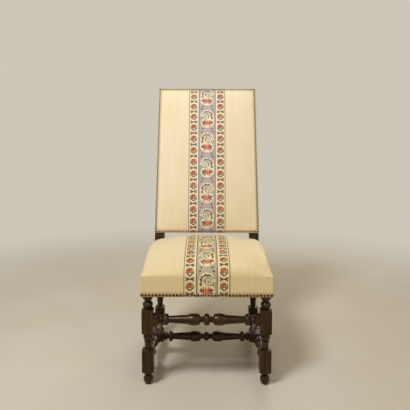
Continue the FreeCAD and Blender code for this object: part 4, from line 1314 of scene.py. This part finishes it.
def all_webs():
    """Seat and back webs, woven over and under each other."""
    columns = spread(-POST_INNER, POST_INNER, 4)
    rows = spread(LEGS_REAR, POST_FRONT, 4)
    on_rails = Matrix.Translation((0, 0, RAIL_TOP))
    web_layer("seat_webs_long", "seat_webbing_lengthwise", 1, columns, rows, on_rails)
    web_layer("seat_webs_cross", "seat_webbing_crosswise", 0, rows, columns, on_rails)
    up_low, up_high = local_box("back_webbing_upright", TO_BACK)
    over_low, over_high = local_box("back_webbing_crosswise", TO_BACK)
    columns = [up_low.x + WEB_WIDTH / 2, 0.0, up_high.x - WEB_WIDTH / 2]
    rows = np.linspace(over_low.y + WEB_WIDTH / 2, over_high.y - WEB_WIDTH / 2, 6)
    web_layer("back_webs_upright", "back_webbing_upright", 1, columns, rows, BACK)
    web_layer("back_webs_cross", "back_webbing_crosswise", 0, rows, columns, BACK)


def sacking_sheet(name, columns, rows, place, level, to_world, node):
    """Flat sacking over the webs, a little slack, with two faces and a rim."""

    def slack_place(i, j):
        spot = place(i, j)
        if spot is None:
            return None
        slack = SACKING_SLACK * math.sin(spot[0] * 61) * math.sin(spot[1] * 53)
        return *spot, level + SACKING_THICKNESS - SACKING_ROOM + slack

    def within(corner, spot):
        return *spot[:2], spot[2] - SACKING_MADE

    cover = Cover(level)
    cover.patch(columns, rows, slack_place, within)
    form = closed(cover.outer, cover.inner, cover.faces, cover.cloth)
    piece = new_piece(name, *form, to_world, SACKING, "hessian", [node])


def seat_sacking():
    low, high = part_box("seat_hessian")
    front_half = high.x
    rear_half = front_half - (HALF_FRONT - HALF_REAR)
    notch = NOTCH_X / rear_half
    outside = 4
    inside = 44
    ends = np.linspace(notch, 1, outside + 1)
    shares = np.concatenate([-ends[::-1], np.linspace(-notch, notch, inside + 1)[1:-1], ends])
    along = np.concatenate([np.linspace(low.y, NOTCH_Y, 40), np.linspace(NOTCH_Y, high.y, 5)[1:]])
    last_full = 39

    def place(i, j):
        if j > last_full and not outside <= i <= outside + inside:
            return None
        half = front_half + (rear_half - front_half) * min((along[j] - low.y) / (NOTCH_Y - low.y), 1)
        return shares[i] * half, along[j]

    sacking_sheet(
        "seat_sacking", len(shares) - 1, len(along) - 1, place, RAIL_TOP + 2 * WEB_THICKNESS, WORLD,
        "seat_hessian",
    )


def back_sacking():
    low, high = local_box("back_hessian", TO_BACK)
    columns = 40
    rows = 64

    def place(i, j):
        return low.x + (high.x - low.x) * i / columns, low.y + (high.y - low.y) * j / rows

    sacking_sheet(
        "back_sacking", columns, rows, place, 2 * WEB_THICKNESS, BACK,
        "back_hessian",
    )


def outside_back():
    """The cloth nailed over the rear of the back, a little drawn in between its nails."""
    across = graded(-1, 1, 0.12, 0.02, 0.032)
    along = graded(BACK_LOW, BACK_HIGH, 0.03, 0.005, 0.009)
    face = -POST_DEPTH - COVER_OUT

    def place(i, j):
        return across[i] * back_half(along[j]), along[j], face

    def within(corner, spot):
        return *spot[:2], face + CLOTH

    cover = Cover(face)
    cover.patch(len(across) - 1, len(along) - 1, place, within, turned=True)
    even, faces, cloth = subdivided(cover.outer, cover.faces, cover.cloth, "SIMPLE")
    inner = subdivided(cover.inner, cover.faces, cover.cloth, "SIMPLE")[0]
    normals = normals_of(even, faces)
    edge = np.minimum(even[:, 1] - BACK_LOW, BACK_HIGH - even[:, 1])
    edge = np.minimum(edge, back_half(even[:, 1]) - np.abs(even[:, 0]))
    outer = uneven(even, normals, *OUTSIDE_UNEVEN, smooth_step((edge - NAIL_EDGE) / OUTSIDE_EASE))
    inner += outer - even
    nails = nail_places("outside_back_nails_", ("bottom", "top", "left", "right"), TO_BACK)
    away = distance_to(near_tree(nails), outer)
    outer = puckered(outer, normals, away, between=0.0004)
    form = closed(outer, inner, faces, cloth)
    piece = new_piece("outside_back_cloth", *form, BACK, LINEN, "ribbed_linen", ["outside_back_cover"])
    mark_soil_and_shade(piece, away, reach=0.0052)
    flat = (2 * back_half(BACK_LOW), BACK_HIGH - BACK_LOW)
    area = (back_half(BACK_LOW) + back_half(BACK_HIGH)) * flat[1]


def timber_looks():
    """Gives every timber its wood, with the grain along it, and the nails their brass."""
    upright = wood("walnut_upright", 2)
    crosswise = wood("walnut_crosswise", 0)
    lengthwise = wood("walnut_lengthwise", 1)
    metal = brass()
    looks = {
        upright: ("front_leg", "rear_post"),
        crosswise: (
            "seat_rail_front", "seat_rail_rear", "back_rail",
            "cross_stretcher", "front_stretcher", "joint_pegs",
        ),
        lengthwise: ("seat_rail_left", "seat_rail_right", "side_stretcher"),
        metal: ("seat_nails", "back_nails", "outside_back_nails"),
    }
    for name, node in nodes.items():
        for material, starts in looks.items():
            if name.startswith(starts):
                node.data.materials.clear()
                node.data.materials.append(material)
                node.data.polygons.foreach_set("material_index", [0] * len(node.data.polygons))


def lamp(name, place, target, size, power, colour, spread_angle=180):
    light = bpy.data.lights.new(name, "AREA")
    light.shape = "DISK"
    light.size = size
    light.energy = power
    light.spread = math.radians(spread_angle)
    light.color = colour
    holder = linked(name, light)
    holder.location = place
    holder.rotation_euler = (Vector(target) - Vector(place)).to_track_quat("-Z", "Y").to_euler()


def room():
    """Even warm light from all round, in front of a plain pale backdrop."""
    world = bpy.data.worlds.new("room")
    bpy.context.scene.world = world
    world.use_nodes = True
    tree = world.node_tree
    light = tree.nodes["Background"]
    light.inputs["Color"].default_value = (1.0, 0.9, 0.73, 1)
    light.inputs["Strength"].default_value = 0.25
    backdrop = tree.nodes.new("ShaderNodeBackground")
    backdrop.inputs["Color"].default_value = (*BACKDROP, 1)
    mix_shaders(tree, seen_directly(tree), light.outputs[0], backdrop.outputs[0], "World Output")


def studio():
    """A plain pale floor and room, with soft light from above and the left."""
    radius = 14.0
    sides = 96
    angles = [FULL_TURN * k / sides for k in range(sides)]
    mesh = bpy.data.meshes.new("floor")
    ring = [(radius * math.cos(angle), radius * math.sin(angle), 0) for angle in angles]
    mesh.from_pydata(ring, [], [list(range(sides))])
    mesh.materials.append(studio_floor())
    linked("floor", mesh)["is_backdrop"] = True
    room()
    lamp("key", (-1.1, -1.5, 2.9), (0, 0, 0.8), 0.9, 62, (0.94, 0.99, 1.1))
    lamp("side", (1.3, -1.7, 1.9), (0.08, 0.2, 0.95), 0.5, 1.0, (1.0, 0.98, 0.93), 60)
    lamp("fill", (2.2, -2.2, 1.5), (0, 0, 0.6), 1.8, 3.5, (1.0, 0.84, 0.6))
    lamp("front", (-0.5, -2.7, 1.7), (0, 0, 0.5), 0.3, 2, (1.0, 0.9, 0.74))
    lamp("top", (0.2, 0.3, 3.2), (0, 0, 0.5), 1.2, 4, (1.0, 0.93, 0.82))
    lamp("rear", (0.9, 2.6, 2.2), (0, 0, 0.7), 1.6, 22, (1.0, 0.97, 0.93))
    bpy.context.scene.view_settings.view_transform = "Standard"


# The photograph's view: the camera's place and aim, with the floor's axes turned a little
IMAGE_WIDTH = 410
FOCAL_PIXELS = 430.9
CAMERA_HEIGHT = 0.9423
CAMERA_DISTANCE = 1.5947  # in front of the front legs' middle line
CAMERA_ASIDE = -0.0088
PITCH = math.radians(4.96)
YAW = math.radians(-0.14)
ROLL = math.radians(0.17)
SHIFT = -0.07
PIVOT_BEHIND_LEGS = 0.2
SENSOR = 0.036


def photograph_camera():
    data = bpy.data.cameras.new("camera")
    data.sensor_width = SENSOR * MM
    data.lens = FOCAL_PIXELS / IMAGE_WIDTH * SENSOR * MM
    data.shift_y = SHIFT
    camera = linked("camera", data)
    leg_line = LEGS_REAR - LEG_SQUARE / 2
    pivot = Vector((0, leg_line + PIVOT_BEHIND_LEGS, 0))
    start = Vector((CAMERA_ASIDE, leg_line - CAMERA_DISTANCE, CAMERA_HEIGHT))
    turn = Matrix.Rotation(-YAW, 4, "Z")
    aim = Euler((math.pi / 2 - PITCH, 0, 0)).to_matrix().to_4x4() @ Matrix.Rotation(ROLL, 4, "Z")
    place = Matrix.Translation(pivot) @ turn @ Matrix.Translation(start - pivot)
    camera.matrix_world = place @ aim
    bpy.context.scene.camera = camera


photograph_camera()
studio()
timber_looks()
LINEN = linen()
WOOL = wool_stitches()
WEBBING = jute_webbing()
SACKING = sacking()

seat_nails = nail_places("seat_nails_", ("front", "rear", "left", "right"), WORLD)
seat, seat_outer, seat_faces = cushion(
    "seat_cushion", seat_cover(), seat_freedom, seat_nails, WORLD,
    ["seat_stuffing", "seat_cover_left", "seat_cover_right"], roll=0.024, nail_soil_and_shade=0.0095,
)
back_nails = nail_places("back_nails_", ("bottom", "top", "left", "right"), TO_BACK)
back, back_outer, back_faces = cushion(
    "back_cushion", back_cover(), back_freedom, back_nails, BACK,
    ["back_stuffing", "back_cover_left", "back_cover_right"], roll=0.0, nail_soil_and_shade=0.0068,
)
# The seat band's painted light tint warms it and takes blue out of it.
seat_chart = {
    "flower": 42.0, "medallion": 46.5, "side": -1, "seed": 11, "hem": 0.0, "plain": 0.012,
    "stone": 0.55, "painted_light_tint": (1.07, 0.97, 0.69), "faded": 0.0,
}
needlework(
    "seat_needlework", seat_outer, seat_faces, seat_band_path(), seat_chart, WORLD,
    ["seat_cover_band"],
)
# The back band's painted light tint brightens it.
back_chart = {
    "flower": 57.0, "medallion": 71.0, "side": 1, "seed": 12, "hem": POST_DEPTH, "plain": 0.05,
    "stone": 0.0, "painted_light_tint": (1.13, 1.03, 0.96), "faded": 0.04,
}
needlework(
    "back_needlework", back_outer, back_faces, back_band_path(), back_chart, BACK,
    ["back_cover_band"],
)
outside_back()
all_webs()
seat_sacking()
back_sacking()

visual_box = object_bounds()
boxes = {"cad": cad_box, "visual": visual_box}
{name: [list(corner) for corner in pair] for name, pair in boxes.items()}
